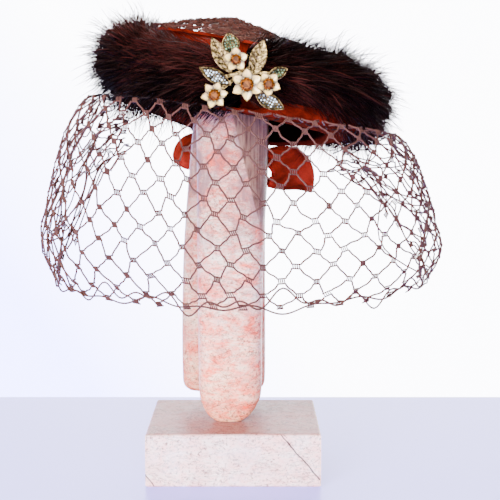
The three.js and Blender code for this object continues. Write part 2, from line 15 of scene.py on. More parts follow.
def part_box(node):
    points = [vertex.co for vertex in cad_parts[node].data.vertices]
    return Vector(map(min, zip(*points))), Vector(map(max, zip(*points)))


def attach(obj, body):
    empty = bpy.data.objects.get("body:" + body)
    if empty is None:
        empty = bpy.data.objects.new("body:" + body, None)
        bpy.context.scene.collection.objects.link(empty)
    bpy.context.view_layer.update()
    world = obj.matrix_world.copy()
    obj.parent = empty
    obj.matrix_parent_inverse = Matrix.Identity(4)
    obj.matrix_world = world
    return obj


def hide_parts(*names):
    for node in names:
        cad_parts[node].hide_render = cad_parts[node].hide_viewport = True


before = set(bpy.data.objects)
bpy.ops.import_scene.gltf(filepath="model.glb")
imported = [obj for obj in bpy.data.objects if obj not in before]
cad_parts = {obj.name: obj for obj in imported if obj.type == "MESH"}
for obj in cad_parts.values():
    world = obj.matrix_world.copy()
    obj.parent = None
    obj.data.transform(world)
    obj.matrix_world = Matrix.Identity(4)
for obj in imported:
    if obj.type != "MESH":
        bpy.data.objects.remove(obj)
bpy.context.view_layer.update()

bl_info = {
    "name": "Fur Halo Hat",
    "version": (1, 0, 0),
    "blender": (4, 5, 0),
    "location": "View3D > Sidebar > Fur Hat",
    "description": "Dresses a fur halo hat with its veil, bow and brooch on a marble stand",
    "category": "Object",
}

MM = 0.001
FULL_TURN = 2 * math.pi

BLOCK_LOW, BLOCK_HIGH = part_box("stand_block")
POST_LOW, POST_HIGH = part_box("stand_post")
RING_LOW, RING_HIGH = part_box("halo_frame")
KNOT_LOW, KNOT_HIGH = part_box("bow_knot")

# The velvet channel's section, out from the middle of the fur and up from the ring's line.
WALL_OUT = -24 * MM
WALL_RISE = 28 * MM
FRAME_DROP = 32 * MM
BRIM_OUT = 13 * MM
FLANGE = 13 * MM
VELVET_WALL = 2.5 * MM
SEAT_GAP = 0.4 * MM

# How the film shows light: brightness = FILM_GAIN * (level / (1 - level)) ** FILM_CURVE.
FILM_GAIN = 0.22
FILM_CURVE = 1.23
# The brightest level that a colour stands for, and the most light that a surface gives back.
FILM_TOP = 251
PALEST = 0.97
# The light that falls on the hat's front, as a matt white card there would show it.
FRONT_LIGHT = 6.0


def seen(red, green, blue):
    """The colour of a surface that looks like this on film, 0 to 255, in the stage's light."""
    levels = [min(level, FILM_TOP) / 255 for level in (red, green, blue)]
    lights = [FILM_GAIN * (level / (1 - level)) ** FILM_CURVE for level in levels]
    return tuple(min(light / FRONT_LIGHT, PALEST) for light in lights)


def dimmed(shade, share):
    """A colour with its red, green and blue multiplied by a share."""
    return tuple(part * share for part in shade)


def length(name, description, default):
    return FloatProperty(name=name, description=description, default=default, unit="LENGTH", precision=4)


def whole(name, description, default, least):
    return IntProperty(name=name, description=description, default=default, min=least)


def brightness(name, description, default):
    return FloatProperty(name=name, description=description, default=default, min=0)


def colour(name, description, red, green, blue):
    return FloatVectorProperty(
        name=name, description=description, default=seen(red, green, blue), subtype="COLOR", min=0, max=1,
    )


# Settings


class StandSettings(bpy.types.PropertyGroup):
    reach: length("Reach", "From the middle of the post's bend to the middle of a leg", 42.7 * MM)
    thickness: length("Thickness", "Front to back of a leg", 48 * MM)
    width: length("Width", "Side to side of the post at its bend", 63 * MM)
    height: length("Height", "Height of the post over the block", POST_HIGH.z - POST_LOW.z)
    pale: colour("Pale stone", "The clear parts of the marble", 249, 237, 234)
    pink: colour("Pink stone", "The clouds in the marble", 238, 194, 174)
    vein: colour("Vein", "The thin veins", 184, 138, 122)
    # Grain and stain also colour the post's facet and back faces, partly as painted shade.
    grain: colour("Grain", "The upright streaks on the cut faces", 146, 108, 92)
    stain: colour("Stain", "The greyer patches of the stone", 209, 186, 183)
    crack: colour("Crack", "The old cracks in the block", 84, 62, 58)


class HaloSettings(bpy.types.PropertyGroup):
    half_width: length("Half width", "Middle to the fur's middle, sideways",
                       (RING_HIGH.x - RING_LOW.x) / 2 - BRIM_OUT)
    half_depth: length("Half depth", "Middle to the fur's middle, front to back",
                       (RING_HIGH.y - RING_LOW.y) / 2 - BRIM_OUT)
    middle: length("Middle", "The ring's middle, sideways from the stand's", (RING_HIGH.x + RING_LOW.x) / 2)
    height: length("Height", "The fur's middle at the front, over the floor", POST_HIGH.z - 50 * MM)
    side_drop: length("Side drop", "How far the right side hangs below the front", 17 * MM)
    back_drop: length("Back drop", "How far the back hangs below the front", 24 * MM)
    # Painted light and painted shade: the velvet's lit colour and its shaded copy, laid in cloudy patches.
    velvet: colour("Velvet", "The velvet where light falls on it", 192, 68, 42)
    velvet_shaded: colour("Deep velvet", "The velvet in its folds", 116, 22, 12)


class FurSettings(bpy.types.PropertyGroup):
    half_depth: length("Half depth", "Half of a fur strip, front to back", 24 * MM)
    half_height: length("Half height", "Half of a fur strip, up and down", 25 * MM)
    body: FloatProperty(name="Body", description="The skin under the hair, as a share of the strip",
                        default=0.82, subtype="FACTOR", min=0.5, max=1)
    hair: length("Hair", "Length of a hair of the undercoat", 15 * MM)
    guard_hair: length("Guard hair", "Length of a long outer hair", 23 * MM)
    hair_width: length("Hair width", "Width of a hair at its root", 0.38 * MM)
    hairs: whole("Hairs", "Undercoat hairs on one strip", 34000, 100)
    guard_hairs: whole("Guard hairs", "Long outer hairs on one strip", 14000, 100)
    stray_hair: length("Stray hair", "Length of a stray hair", 34 * MM)
    stray_hairs: whole("Stray hairs", "Stray hairs on one strip", 1500, 10)
    dark: colour("Dark", "The roots of the hair", 8, 3, 3)
    # The tip colour is partly painted highlight on the fur.
    tip: colour("Tip", "The ends of the hair", 122, 52, 44)


class NetSettings(bpy.types.PropertyGroup):
    thread: length("Thread", "Thickness of the veiling's thread", 1.5 * MM)
    knot_width: length("Knot width", "Side to side of a wrapped knot", 6.2 * MM)
    knot_height: length("Knot height", "Up and down of a wrapped knot", 3.8 * MM)
    crown_columns: whole("Crown columns", "Cells round the crown net", 26, 4)
    crown_rows: whole("Crown rows", "Cells from rim to middle", 5, 2)
    taupe: colour("Taupe", "The veil's thread", 168, 120, 106)
    # Painted shade: the veil's top rows, which lie under the fur, are drawn in this dark colour.
    seam: colour("Seam", "The thread that sews the veil under the fur", 52, 22, 18)
    rose: colour("Rose", "The crown net's thread", 156, 92, 74)


class BowSettings(bpy.types.PropertyGroup):
    reach: length("Reach", "How far a loop stands out from the knot", 48 * MM)
    drop: length("Drop", "How far a loop hangs below the knot", 34 * MM)
    bulge: length("Bulge", "How far a loop opens, front to back", 13 * MM)
    ribbon_width: length("Ribbon width", "Width of the velvet ribbon", 44 * MM)
    ribbon_thickness: length("Ribbon thickness", "Thickness of the doubled velvet", 1.6 * MM)
    # Painted light and painted shade: the ribbon's lit colour and its shaded copy, laid in cloudy patches.
    velvet: colour("Velvet", "The ribbon where light falls on it", 216, 104, 72)
    velvet_shaded: colour("Deep velvet", "The ribbon in its folds", 154, 50, 26)


class BroochSettings(bpy.types.PropertyGroup):
    half_width: length("Half width", "Half of the brooch, side to side", 35 * MM)
    middle: length("Middle", "Sideways from the ring's middle", -1.6 * MM)
    leaf_length: length("Leaf length", "The longest leaf", 31 * MM)
    leaf_width: length("Leaf width", "The widest leaf", 14 * MM)
    flower_radius: length("Flower radius", "The widest flower", 12.5 * MM)
    stone_radius: length("Stone radius", "The largest stone", 5.2 * MM)
    gold: colour("Gold", "Aged gold", 214, 202, 164)
    crystal: colour("Crystal", "The clear stones", 235, 238, 240)
    green_crystal: colour("Green crystal", "The pale green stones", 190, 212, 186)
    petal: colour("Petal", "The enamel of the petals", 238, 232, 196)
    amber: colour("Amber", "The stones in the flowers", 196, 134, 22)


class StageSettings(bpy.types.PropertyGroup):
    lens: FloatProperty(name="Lens", description="Focal length", default=79.11, unit="CAMERA")
    camera_x: length("Camera x", "The camera, sideways", 14.65 * MM)
    camera_y: length("Camera y", "The camera, in front", -994.1 * MM)
    camera_z: length("Camera z", "The camera's height", 309.2 * MM)
    camera_pitch: FloatProperty(name="Camera pitch", description="How far the camera looks down",
                                default=math.radians(6.165), subtype="ANGLE")
    floor_edge: length("Floor edge", "Where the floor ends behind the stand", 266 * MM)
    wall_y: length("Wall", "The wall's distance behind the stand", 2.8)
    room: length("Room", "Half of the floor's and the wall's width", 2.6)
    floor: colour("Floor", "The pale floor", 220, 218, 238)
    wall: colour("Wall", "The pale wall", 250, 250, 250)
    # Painted shade on the glowing wall, low on the left.
    wall_painted_shade: colour("Wall's shade", "The wall low on the left", 226, 227, 248)
    floor_glow: brightness("Floor glow", "Light that the floor gives off", 0.7)
    wall_glow: brightness("Wall glow", "Light that the wall gives off", 11.0)


class HatSettings(bpy.types.PropertyGroup):
    stand: PointerProperty(type=StandSettings)
    halo: PointerProperty(type=HaloSettings)
    fur: PointerProperty(type=FurSettings)
    net: PointerProperty(type=NetSettings)
    bow: PointerProperty(type=BowSettings)
    brooch: PointerProperty(type=BroochSettings)
    stage: PointerProperty(type=StageSettings)


def settings():
    return bpy.context.scene.fur_hat


# Curves and directions, for many points at once


def smoothly(value, low, high):
    """0 up to low and 1 from high on, with an even ease between them."""
    share = np.clip((np.asarray(value, float) - low) / (high - low), 0, 1)
    return share * share * (3 - 2 * share)


def between(start, end, share):
    return start + (end - start) * share


def flowing(values, share):
    """A smooth curve through evenly spaced values, read at shares from 0 to 1."""
    values = np.asarray(values, float)
    last = len(values) - 1
    at = np.clip(np.asarray(share, float) * last, 0, last - 1e-6)
    start = at.astype(int)
    part = at - start
    before = values[np.maximum(start - 1, 0)]
    here = values[start]
    after = values[start + 1]
    beyond = values[np.minimum(start + 2, last)]
    return 0.5 * (
        2 * here
        + (after - before) * part
        + (2 * before - 5 * here + 4 * after - beyond) * part ** 2
        + (3 * here - before - 3 * after + beyond) * part ** 3
    )


def column(table, name):
    return [row[name] for row in table]


def columns_at(table, share):
    """Every named column of a table of sections, read smoothly at each share."""
    return {name: flowing(column(table, name), share) for name in table[0]}


def unit(vectors):
    return vectors / np.maximum(np.linalg.norm(vectors, axis=-1, keepdims=True), 1e-12)


def swung(first, second, angle):
    """A direction swung from a first one towards a second by an angle, for many at once."""
    return first * np.cos(angle)[:, None] + second * np.sin(angle)[:, None]


# How far apart, as shares, the points are between which a direction is measured on a line and on a surface.
LINE_STEP = 0.01
SURFACE_STEP = 0.003


def run_of(line, along):
    """The short way that a line goes round each share along it."""
    return line(np.clip(along + LINE_STEP, 0, 1)) - line(np.clip(along - LINE_STEP, 0, 1))


def directions(surface, across, down):
    """Unit directions of a surface at shares: along across, along down, and its normal."""
    low, high = np.clip(down - SURFACE_STEP, 0, 1), np.clip(down + SURFACE_STEP, 0, 1)
    along_across = unit(surface(across + SURFACE_STEP, down) - surface(across - SURFACE_STEP, down))
    along_down = unit(surface(across, high) - surface(across, low))
    return along_across, along_down, unit(np.cross(along_across, along_down))


def ring_points(angle, out, up):
    """Points round the halo, by angle from the front towards +X, how far out and how high."""
    halo = settings().halo
    angle, out, up = np.broadcast_arrays(*(np.asarray(value, float) for value in (angle, out, up)))
    behind = (1 - np.cos(angle)) / 2
    drop = halo.side_drop * np.sin(angle) + halo.back_drop * behind ** 3
    return np.stack([
        halo.middle + (halo.half_width + out) * np.sin(angle),
        -(halo.half_depth + out) * np.cos(angle),
        halo.height - drop + up,
    ], axis=-1)


# How many waves each octave of ripples has, and how much finer each octave is than the one before it.
OCTAVE_WAVES = 4
OCTAVE_FINER = 1.9


def ripples(points, seed, size, octaves=3):
    """Smooth waves from -1 to 1 at points, made of sines whose directions come from the seed."""
    rng = np.random.default_rng(seed)
    total = np.zeros(points.shape[:-1])
    strength = 0.0
    for octave in range(octaves):
        for _ in range(OCTAVE_WAVES):
            heading = unit(rng.normal(size=3))
            phase = rng.uniform(0, FULL_TURN)
            wave = (points @ heading) * FULL_TURN / size * OCTAVE_FINER ** octave + phase
            total += np.sin(wave) / 2 ** octave
            strength += 0.5 / 2 ** octave
    return total / strength


# Meshes


def shaped_grid(columns, rows, place):
    """A grid whose corners are moved to place(across, down). Its shares are kept as its UV map."""
    mesh = bmesh.new()
    bmesh.ops.create_grid(mesh, x_segments=columns, y_segments=rows, size=0.5)
    shares = np.array([vert.co[:2] for vert in mesh.verts]) + 0.5
    uv = mesh.loops.layers.uv.new("shares")
    for face in mesh.faces:
        for loop in face.loops:
            loop[uv].uv = shares[loop.vert.index]
    for vert, point in zip(mesh.verts, place(shares[:, 0], shares[:, 1])):
        vert.co = point
    return mesh


def sewn(mesh):
    """Joins the grid's edges where they meet, closes its open ends and turns its faces outwards."""
    bmesh.ops.remove_doubles(mesh, verts=mesh.verts, dist=1e-6)
    open_edges = [edge for edge in mesh.edges if edge.is_boundary]
    if open_edges:
        bmesh.ops.holes_fill(mesh, edges=open_edges, sides=0)
    bmesh.ops.recalc_face_normals(mesh, faces=mesh.faces)
    return mesh


def piece(name, mesh, material, slot, *nodes):
    """Makes a finished object that rides on the part and stands for the nodes that it names."""
    if isinstance(mesh, bmesh.types.BMesh):
        data = bpy.data.meshes.new(name)
        mesh.to_mesh(data)
        mesh.free()
    else:
        data = mesh
        data.name = name
    data.materials.append(material)
    made = bpy.data.objects.new(name, data)
    bpy.context.scene.collection.objects.link(made)
    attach(made, "root")
    if nodes:
        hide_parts(*nodes)
    return made


def shade_smooth(made, angle=None):
    """Smooth shading, with edges sharper than an angle in degrees kept crisp."""
    data = made.data
    data.shade_smooth()
    if angle is not None:
        data.set_sharp_from_angle(angle=math.radians(angle))


def thicken(made, thickness):
    """Gives a sheet its thickness, half of it on each side."""
    wall = made.modifiers.new("thickness", "SOLIDIFY")
    wall.thickness = thickness
    wall.offset = 0


def refinish(node, material):
    """Puts a finish on a solid whose shape stays as it is."""
    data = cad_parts[node].data
    data.materials.clear()
    data.materials.append(material)


def template_of(mesh):
    """The corners and faces of a small mesh, to be copied many times."""
    corners = np.array([vert.co[:] for vert in mesh.verts])
    faces = [[vert.index for vert in face.verts] for face in mesh.faces]
    mesh.free()
    return corners, faces


def many_copies(name, faces, points, uv):
    """One mesh of many copies of a small one. Points are by copy and corner, and so is uv."""
    copies, corners = points.shape[:2]
    starts = np.arange(copies)[:, None] * corners
    by_face = [(starts + np.array(face)).tolist() for face in faces]
    by_copy = [face[copy] for copy in range(copies) for face in by_face]
    data = bpy.data.meshes.new(name)
    data.from_pydata(points.reshape(-1, 3).tolist(), [], by_copy)
    loops = np.concatenate([np.array(face) for face in faces])
    layer = data.uv_layers.new(name="shares")
    layer.data.foreach_set("uv", uv[:, loops].astype(np.float32).ravel())
    return data


def threads(name, lines, radius, sides=1):
    """One mesh of round threads through lists of points."""
    curve = bpy.data.curves.new(name, "CURVE")
    curve.dimensions = "3D"
    curve.bevel_depth = radius
    curve.bevel_resolution = sides
    curve.use_fill_caps = True
    for line in lines:
        spline = curve.splines.new("POLY")
        spline.points.add(len(line) - 1)
        ends = np.ones((len(line), 4))
        ends[:, :3] = line
        spline.points.foreach_set("co", ends.ravel())
    holder = bpy.data.objects.new(name, curve)
    bpy.context.scene.collection.objects.link(holder)
    tubes = bpy.data.meshes.new_from_object(holder.evaluated_get(bpy.context.evaluated_depsgraph_get()))
    bpy.data.objects.remove(holder)
    bpy.data.curves.remove(curve)
    tubes.shade_smooth()
    return tubes


# Materials


class Finish:
    """A material under construction, with short ways to add and join its nodes."""

    def __init__(self, name, roughness, **shader_values):
        self.material = bpy.data.materials.new(name)
        self.material.use_nodes = True
        self.tree = self.material.node_tree
        self.shader = self.tree.nodes["Principled BSDF"]
        self.shader.inputs["Roughness"].default_value = roughness
        for socket, value in shader_values.items():
            self.shader.inputs[socket.replace("_", " ")].default_value = value

    def node(self, kind, inputs=None, **values):
        made = self.tree.nodes.new(kind)
        for name, value in values.items():
            setattr(made, name, value)
        for name, value in (inputs or {}).items():
            if isinstance(value, bpy.types.NodeSocket):
                self.tree.links.new(value, made.inputs[name])
            else:
                made.inputs[name].default_value = value
        return made

    def join(self, output, socket):
        self.tree.links.new(output, self.shader.inputs[socket])

    def place(self, scale=(1, 1, 1)):
        """The point on the object, stretched by a scale."""
        coordinates = self.node("ShaderNodeTexCoord")
        return self.node(
            "ShaderNodeMapping", {"Vector": coordinates.outputs["Object"], "Scale": scale},
        ).outputs["Vector"]

    def uv(self):
        """The point on the piece's own map, as its X and Y."""
        return self.parts(self.node("ShaderNodeTexCoord").outputs["UV"])

    def parts(self, vector):
        return self.node("ShaderNodeSeparateXYZ", {"Vector": vector}).outputs

    def reckon(self, operation, *values):
        return self.node("ShaderNodeMath", dict(enumerate(values)), operation=operation).outputs["Value"]

    def toward(self, vector, direction):
        """How far a point lies along a direction."""
        both = {0: vector, 1: direction}
        return self.node("ShaderNodeVectorMath", both, operation="DOT_PRODUCT").outputs["Value"]

    def spread(self, value, start, end, low=0.0, high=1.0):
        """A value that runs from start to end, made to run from low to high."""
        return self.node("ShaderNodeMapRange", {
            "Value": value, "From Min": start, "From Max": end, "To Min": low, "To Max": high,
        }).outputs["Result"]

    def cloud(self, place, scale, detail=4.0, roughness=0.55, distortion=0.0):
        return self.node("ShaderNodeTexNoise", {
            "Vector": place, "Scale": scale, "Detail": detail,
            "Roughness": roughness, "Distortion": distortion,
        }).outputs["Fac"]

    def ramp(self, value, stops):
        """A colour for each value. Stops are pairs of a place and a colour or a brightness."""
        made = self.node("ShaderNodeValToRGB", {"Fac": value})
        elements = made.color_ramp.elements
        while len(elements) < len(stops):
            elements.new(1.0)
        for element, (place, shade) in zip(elements, stops):
            element.position = place
            colour = (shade, shade, shade) if isinstance(shade, (int, float)) else tuple(shade)
            element.color = (*colour, 1.0)
        return made.outputs["Color"]

    def mix(self, share, first, second, blend="MIX"):
        made = self.tree.nodes.new("ShaderNodeMix")
        made.data_type = "RGBA"
        made.blend_type = blend
        for socket, value in ((0, share), (6, first), (7, second)):
            if isinstance(value, bpy.types.NodeSocket):
                self.tree.links.new(value, made.inputs[socket])
            elif isinstance(value, (int, float)):
                made.inputs[socket].default_value = value
            else:
                made.inputs[socket].default_value = (*tuple(value)[:3], 1.0)
        return made.outputs[2]

    def over(self, body, pattern, stops, shade):
        """Lays a shade over a body where the stops of a pattern say so."""
        return self.mix(self.ramp(pattern, stops), body, shade)

    def bump(self, height, strength, distance):
        made = self.node("ShaderNodeBump", {"Height": height, "Strength": strength, "Distance": distance})
        self.join(made.outputs["Normal"], "Normal")


# The block's top and the band in which its tone changes, as shares of the stand's height.
BLOCK_TOP = BLOCK_HIGH.z / POST_HIGH.z
TOP_BAND = 0.004
# Tones of the stone from the foot up: a share of the stand's height, and what its colour is multiplied by. The
# dark tone at the block's top is painted shade on its upper face, which the front light barely reaches.
MARBLE_TONES = [
    (0.0, (1.0, 0.88, 1.0)), (BLOCK_TOP - TOP_BAND, (0.98, 0.84, 0.97)), (BLOCK_TOP, (0.34, 0.165, 0.17)),
    (BLOCK_TOP + TOP_BAND, (1.0, 0.6, 0.44)), (0.3, (1.0, 0.76, 0.64)), (0.46, (1.0, 0.95, 0.88)),
    (0.6, (0.74, 0.63, 0.58)), (0.9, (0.52, 0.44, 0.4)),
]
# How much of the stain's red, green and blue the streaked faces keep. On the facet and the back faces this
# streaked colour is partly painted shade.
MARBLE_TAUPE = (0.88, 0.84, 0.62)
# Cracks on the block's front, from one end to the other, in X and Z.
MARBLE_CRACKS = [((40 * MM, 48 * MM), (76 * MM, 7 * MM)), ((-77 * MM, 12 * MM), (-69 * MM, 0.0))]
CRACK_WANDER = 2 * MM
# The slanted edge on the front of the post's bend, from its top down, in X and Z.
MARBLE_ARRIS = ((-3 * MM, 332 * MM), (17 * MM, 250 * MM))


def marble():
    """Honed marble: salmon and cream blotches, white drifts that are partly painted highlight, grey bands
    higher up, fine grain, veins and old cracks, and painted shade on the block's top, on the facet beside the
    post's slanted edge and on the post's back faces.
    """
    stand = settings().stand
    finish = Finish("marble", 0.4, Specular_IOR_Level=0.06)
    place = finish.place()
    parts = finish.parts(finish.place([1 / POST_HIGH.z] * 3))
    high, deep = parts["Z"], parts["Y"]
    clouds = finish.cloud(finish.place((1, 1, 1.5)), 36, detail=9, roughness=0.75, distortion=0.4)
    grain = finish.cloud(finish.place((1, 1, 3.2)), 120, detail=6, roughness=0.75, distortion=0.5)
    specks = finish.cloud(place, 420, detail=3, roughness=0.7)
    veins = finish.cloud(finish.place((1, 1, 2.6)), 40, detail=9, roughness=0.7, distortion=1.2)
    drifts_and_highlights = finish.cloud(finish.place((1, 1, 1.6)), 30, detail=9, roughness=0.7, distortion=0.6)
    streaks = finish.cloud(finish.place((1, 1, 0.06)), 420, detail=3, roughness=0.7)
    stains = finish.cloud(finish.place((1, 1, 0.8)), 40, detail=5, roughness=0.6, distortion=0.9)
    wobble = finish.cloud(place, 90, detail=3)
    body = finish.ramp(clouds, [(0.36, stand.pale), (0.44, stand.pale), (0.62, stand.pink)])
    body = finish.over(body, grain, [(0.44, 0.0), (0.64, 0.85)], stand.pink)
    body = finish.over(body, high, [(BLOCK_TOP, 0.6), (BLOCK_TOP + TOP_BAND, 0.0)], stand.pale)
    body = finish.over(body, specks, [(0.54, 0.0), (0.68, 0.85)], stand.vein)
    body = finish.over(body, veins, [(0.47, 0.0), (0.492, 0.8), (0.508, 0.0)], stand.vein)
    # White drifts in the stone, laid on partly as painted highlight.
    body = finish.over(body, drifts_and_highlights, [(0.5, 0.0), (0.72, 0.6)], seen(250, 245, 238))
    # The tones also lay painted shade on the block's top face.
    body = finish.mix(1.0, body, finish.ramp(high, MARBLE_TONES), "MULTIPLY")
    stained = finish.ramp(stains, [(0.44, 0.0), (0.58, 1.0)])
    higher_up = finish.ramp(high, [(0.13, 0.12), (0.5, 0.18), (0.62, 0.9)])
    body = finish.mix(finish.mix(1.0, stained, higher_up, "MULTIPLY"), body, stand.stain)
    taupe = tuple(share * part for share, part in zip(stand.stain, MARBLE_TAUPE))
    streaked_shade = finish.ramp(streaks, [(0.38, stand.grain), (0.6, taupe)])
    # Faces behind the post's middle take some streaked colour: partly grain, partly painted shade on the back
    # of the stone.
    body = finish.over(body, deep, [(0.02, 0.0), (0.04, 0.25)], streaked_shade)
    # The facet right of the slanted edge: streaked grain and painted shade.
    body = finish.mix(facet_grain_and_shade(finish, deep), body, streaked_shade)
    for start, end in MARBLE_CRACKS:
        body = finish.mix(crack_share(finish, wobble, start, end), body, stand.crack)
    finish.join(body, "Base Color")
    finish.join(finish.ramp(grain, [(0.3, 0.32), (0.7, 0.52)]), "Roughness")
    finish.bump(grain, 0.12, 0.4 * MM)
    return finish.material


def distances(finish, start, end):
    """How far a point is from a line's middle, beside it and along it, seen from the front."""
    along = Vector((end[0] - start[0], 0, end[1] - start[1])).normalized()
    middle = ((start[0] + end[0]) / 2, 0, (start[1] + end[1]) / 2)
    shift = finish.node("ShaderNodeVectorMath", {0: finish.place(), 1: middle}, operation="SUBTRACT")
    point = shift.outputs["Vector"]
    return finish.toward(point, (-along.z, 0, along.x)), finish.toward(point, tuple(along))


def facet_grain_and_shade(finish, depth):
    """Grey streaked grain with painted shade on the facet right of the slanted edge, which faces away from the
    key light, strongest close to the edge.
    """
    aside, _ = distances(finish, *MARBLE_ARRIS)
    edge_end = MARBLE_ARRIS[1][1]
    near = finish.spread(aside, 0.0, 1.2 * MM)
    far = finish.spread(aside, 4 * MM, 30 * MM, 0.95, 0.6)
    above = finish.spread(finish.parts(finish.place())["Z"], edge_end - 40 * MM, edge_end)
    share = finish.reckon("MULTIPLY", finish.reckon("MULTIPLY", near, far), above)
    in_front = finish.ramp(depth, [(0.0, 1.0), (0.004, 0.0)])
    return finish.mix(1.0, share, in_front, "MULTIPLY")


def crack_share(finish, wobble, start, end):
    """Near 1 on a thin uneven crack across the block's front and 0 beside it."""
    aside, along = distances(finish, start, end)
    shifted = finish.reckon("ADD", aside, finish.spread(wobble, 0.0, 1.0, -CRACK_WANDER, CRACK_WANDER))
    line = finish.spread(finish.reckon("ABSOLUTE", shifted), 0.35 * MM, 0.8 * MM, 0.9, 0.0)
    within = finish.reckon("LESS_THAN", finish.reckon("ABSOLUTE", along), math.dist(start, end) / 2)
    on_front = finish.reckon("LESS_THAN", finish.parts(finish.place())["Y"], BLOCK_LOW.y + 1 * MM)
    return finish.reckon("MULTIPLY", line, finish.reckon("MULTIPLY", within, on_front))


def velvet(name, light, deep, dark_underside_and_inside=False):
    """Rust velvet with a crushed nap in cloudy patches of painted light and painted shade, fine nap specks in
    the shaded colour, and a darker underside and near-black inside if asked.
    """
    finish = Finish(name, 0.9, Specular_IOR_Level=0.0, Sheen_Weight=0.03, Sheen_Roughness=0.4,
                    Sheen_Tint=(1.0, 0.2, 0.1, 1.0))
    place = finish.place()
    crush = finish.cloud(place, 42, detail=4, roughness=0.55, distortion=0.9)
    nap = finish.cloud(place, 900, detail=2)
    # Cloudy patches run from the painted shade colour to the painted light colour; the nap adds fine specks of
    # painted shade.
    body = finish.ramp(crush, [(0.34, deep), (0.62, light)])
    body = finish.over(body, nap, [(0.4, 0.0), (0.75, 0.55)], deep)
    if dark_underside_and_inside:
        along = finish.uv()["Y"]
        # The underside gets a darker velvet colour as painted shade; the inner wall is coloured near-black.
        for end, shade in ((UNDERSIDE_END, seen(146, 46, 28)), (INNER_WALL_END, seen(24, 9, 8))):
            body = finish.over(body, along, [(end, 1.0), (end + TONE_BAND, 0.0)], shade)
    finish.join(body, "Base Color")
    finish.bump(nap, 0.35, 0.3 * MM)
    return finish.material


def fur_hair():
    """Dark brown hair, darker at its root, with a silky gloss, a tip colour that stands partly for painted
    highlight, and hairs of mixed shades that also make painted highlight streaks.
    """
    fur = settings().fur
    finish = Finish("fur_hair", 0.4, Specular_IOR_Level=0.05, Specular_Tint=(1.0, 0.5, 0.44, 1.0))
    hair = finish.uv()
    along = finish.ramp(hair["Y"], [(0.1, fur.dark), (0.5, fur.tip), (0.72, fur.tip), (1.0, fur.dark)])
    shade = finish.ramp(hair["X"], [(0.0, 0.0), (0.45, 0.03), (0.75, 0.36), (1.0, 1.0)])
    finish.join(finish.mix(1.0, along, shade, "MULTIPLY"), "Base Color")
    return finish.material


def fur_skin():
    """The dark ground under the hair."""
    finish = Finish("fur_skin", 0.9, Specular_IOR_Level=0.1)
    ground = finish.cloud(finish.place(), 160, detail=3)
    finish.join(finish.ramp(ground, [(0.3, seen(6, 3, 3)), (0.8, seen(18, 8, 7))]), "Base Color")
    finish.bump(ground, 0.8, 1.5 * MM)
    return finish.material


def net_thread(name, shade):
    """Twisted thread, with slubs of lighter and darker colour."""
    finish = Finish(name, 0.6, Specular_IOR_Level=0.12)
    slubs = finish.cloud(finish.place(), 180, detail=2)
    twist = finish.cloud(finish.place(), 1400, detail=1)
    finish.join(finish.ramp(slubs, [(0.3, dimmed(shade, 0.65)), (0.65, shade)]), "Base Color")
    finish.bump(twist, 0.4, 0.1 * MM)
    return finish.material


def gold(name="gold", bright=1.0):
    """Aged gold with darker hollows and fine hammer marks."""
    clear = dimmed(settings().brooch.gold, bright)
    finish = Finish(name, 0.36, Metallic=1.0)
    marks = finish.cloud(finish.place(), 480, detail=5, roughness=0.65)
    finish.join(finish.ramp(marks, [(0.42, dimmed(clear, 0.08)), (0.6, clear)]), "Base Color")
    finish.join(finish.ramp(marks, [(0.3, 0.55), (0.7, 0.25)]), "Roughness")
    finish.bump(marks, 0.6, 0.4 * MM)
    return finish.material


def cut_stone(name, shade, depth, shine):
    """A cut stone with painted glints and painted shade: its facets go from the stone's full colour to nearly
    dark, as its own map says.
    """
    finish = Finish(name, 0.12, Specular_IOR_Level=shine)
    middle = dimmed(shade, 0.35 + 0.3 * depth)
    facets = finish.ramp(finish.uv()["X"], [(0.12, dimmed(shade, depth)), (0.5, middle), (0.9, shade)])
    finish.join(facets, "Base Color")
    return finish.material


def enamel():
    """Cream enamel with brown wear. It is browner towards the heart of the flower as painted shade, and along
    each petal's edges and fold, partly as lines in the enamel and partly as painted shade.
    """
    petal = settings().brooch.petal
    finish = Finish("enamel", 0.22, Specular_IOR_Level=0.6, Coat_Weight=0.5, Coat_Roughness=0.08)
    shares = finish.uv()
    worn = finish.cloud(finish.place(), 420, detail=4)
    edges = [(0.02, 0.9), (0.16, 0.0), (0.46, 0.0), (0.5, 0.4), (0.54, 0.0), (0.84, 0.0), (0.98, 0.9)]
    # Painted shade: the enamel darkens towards the heart of the flower.
    body = finish.ramp(shares["Y"], [(0.14, dimmed(petal, 0.08)), (0.6, petal)])
    # Brown along the edges and the middle fold: partly lines in the enamel, partly painted shade between the
    # petals and in the fold.
    body = finish.over(body, shares["X"], edges, seen(132, 102, 64))
    body = finish.over(body, worn, [(0.54, 0.0), (0.72, 0.6)], seen(160, 128, 84))
    finish.join(body, "Base Color")
    finish.bump(worn, 0.2, 0.2 * MM)
    return finish.material


# The direction in which the wall turns from its painted shade to its own colour, and where along it that
# happens.
STAGE_SLANT = (0.9, 0.0, 0.7)
STAGE_TURN = (-0.9, -0.1)


def plain_stage(name, shade, corner, roughness, glow):
    """A smooth painted board that glows a little and turns to a second colour low on the left, which on the
    wall is a darker, bluer painted shade.
    """
    finish = Finish(name, roughness, Specular_IOR_Level=0.25, Emission_Strength=glow)
    share = finish.spread(finish.toward(finish.place(), STAGE_SLANT), *STAGE_TURN)
    # The corner colour is the wall's painted shade, low on the left.
    body = finish.ramp(share, [(0.0, corner), (1.0, shade)])
    finish.join(body, "Base Color")
    finish.join(body, "Emission Color")
    return finish.material


# Stand

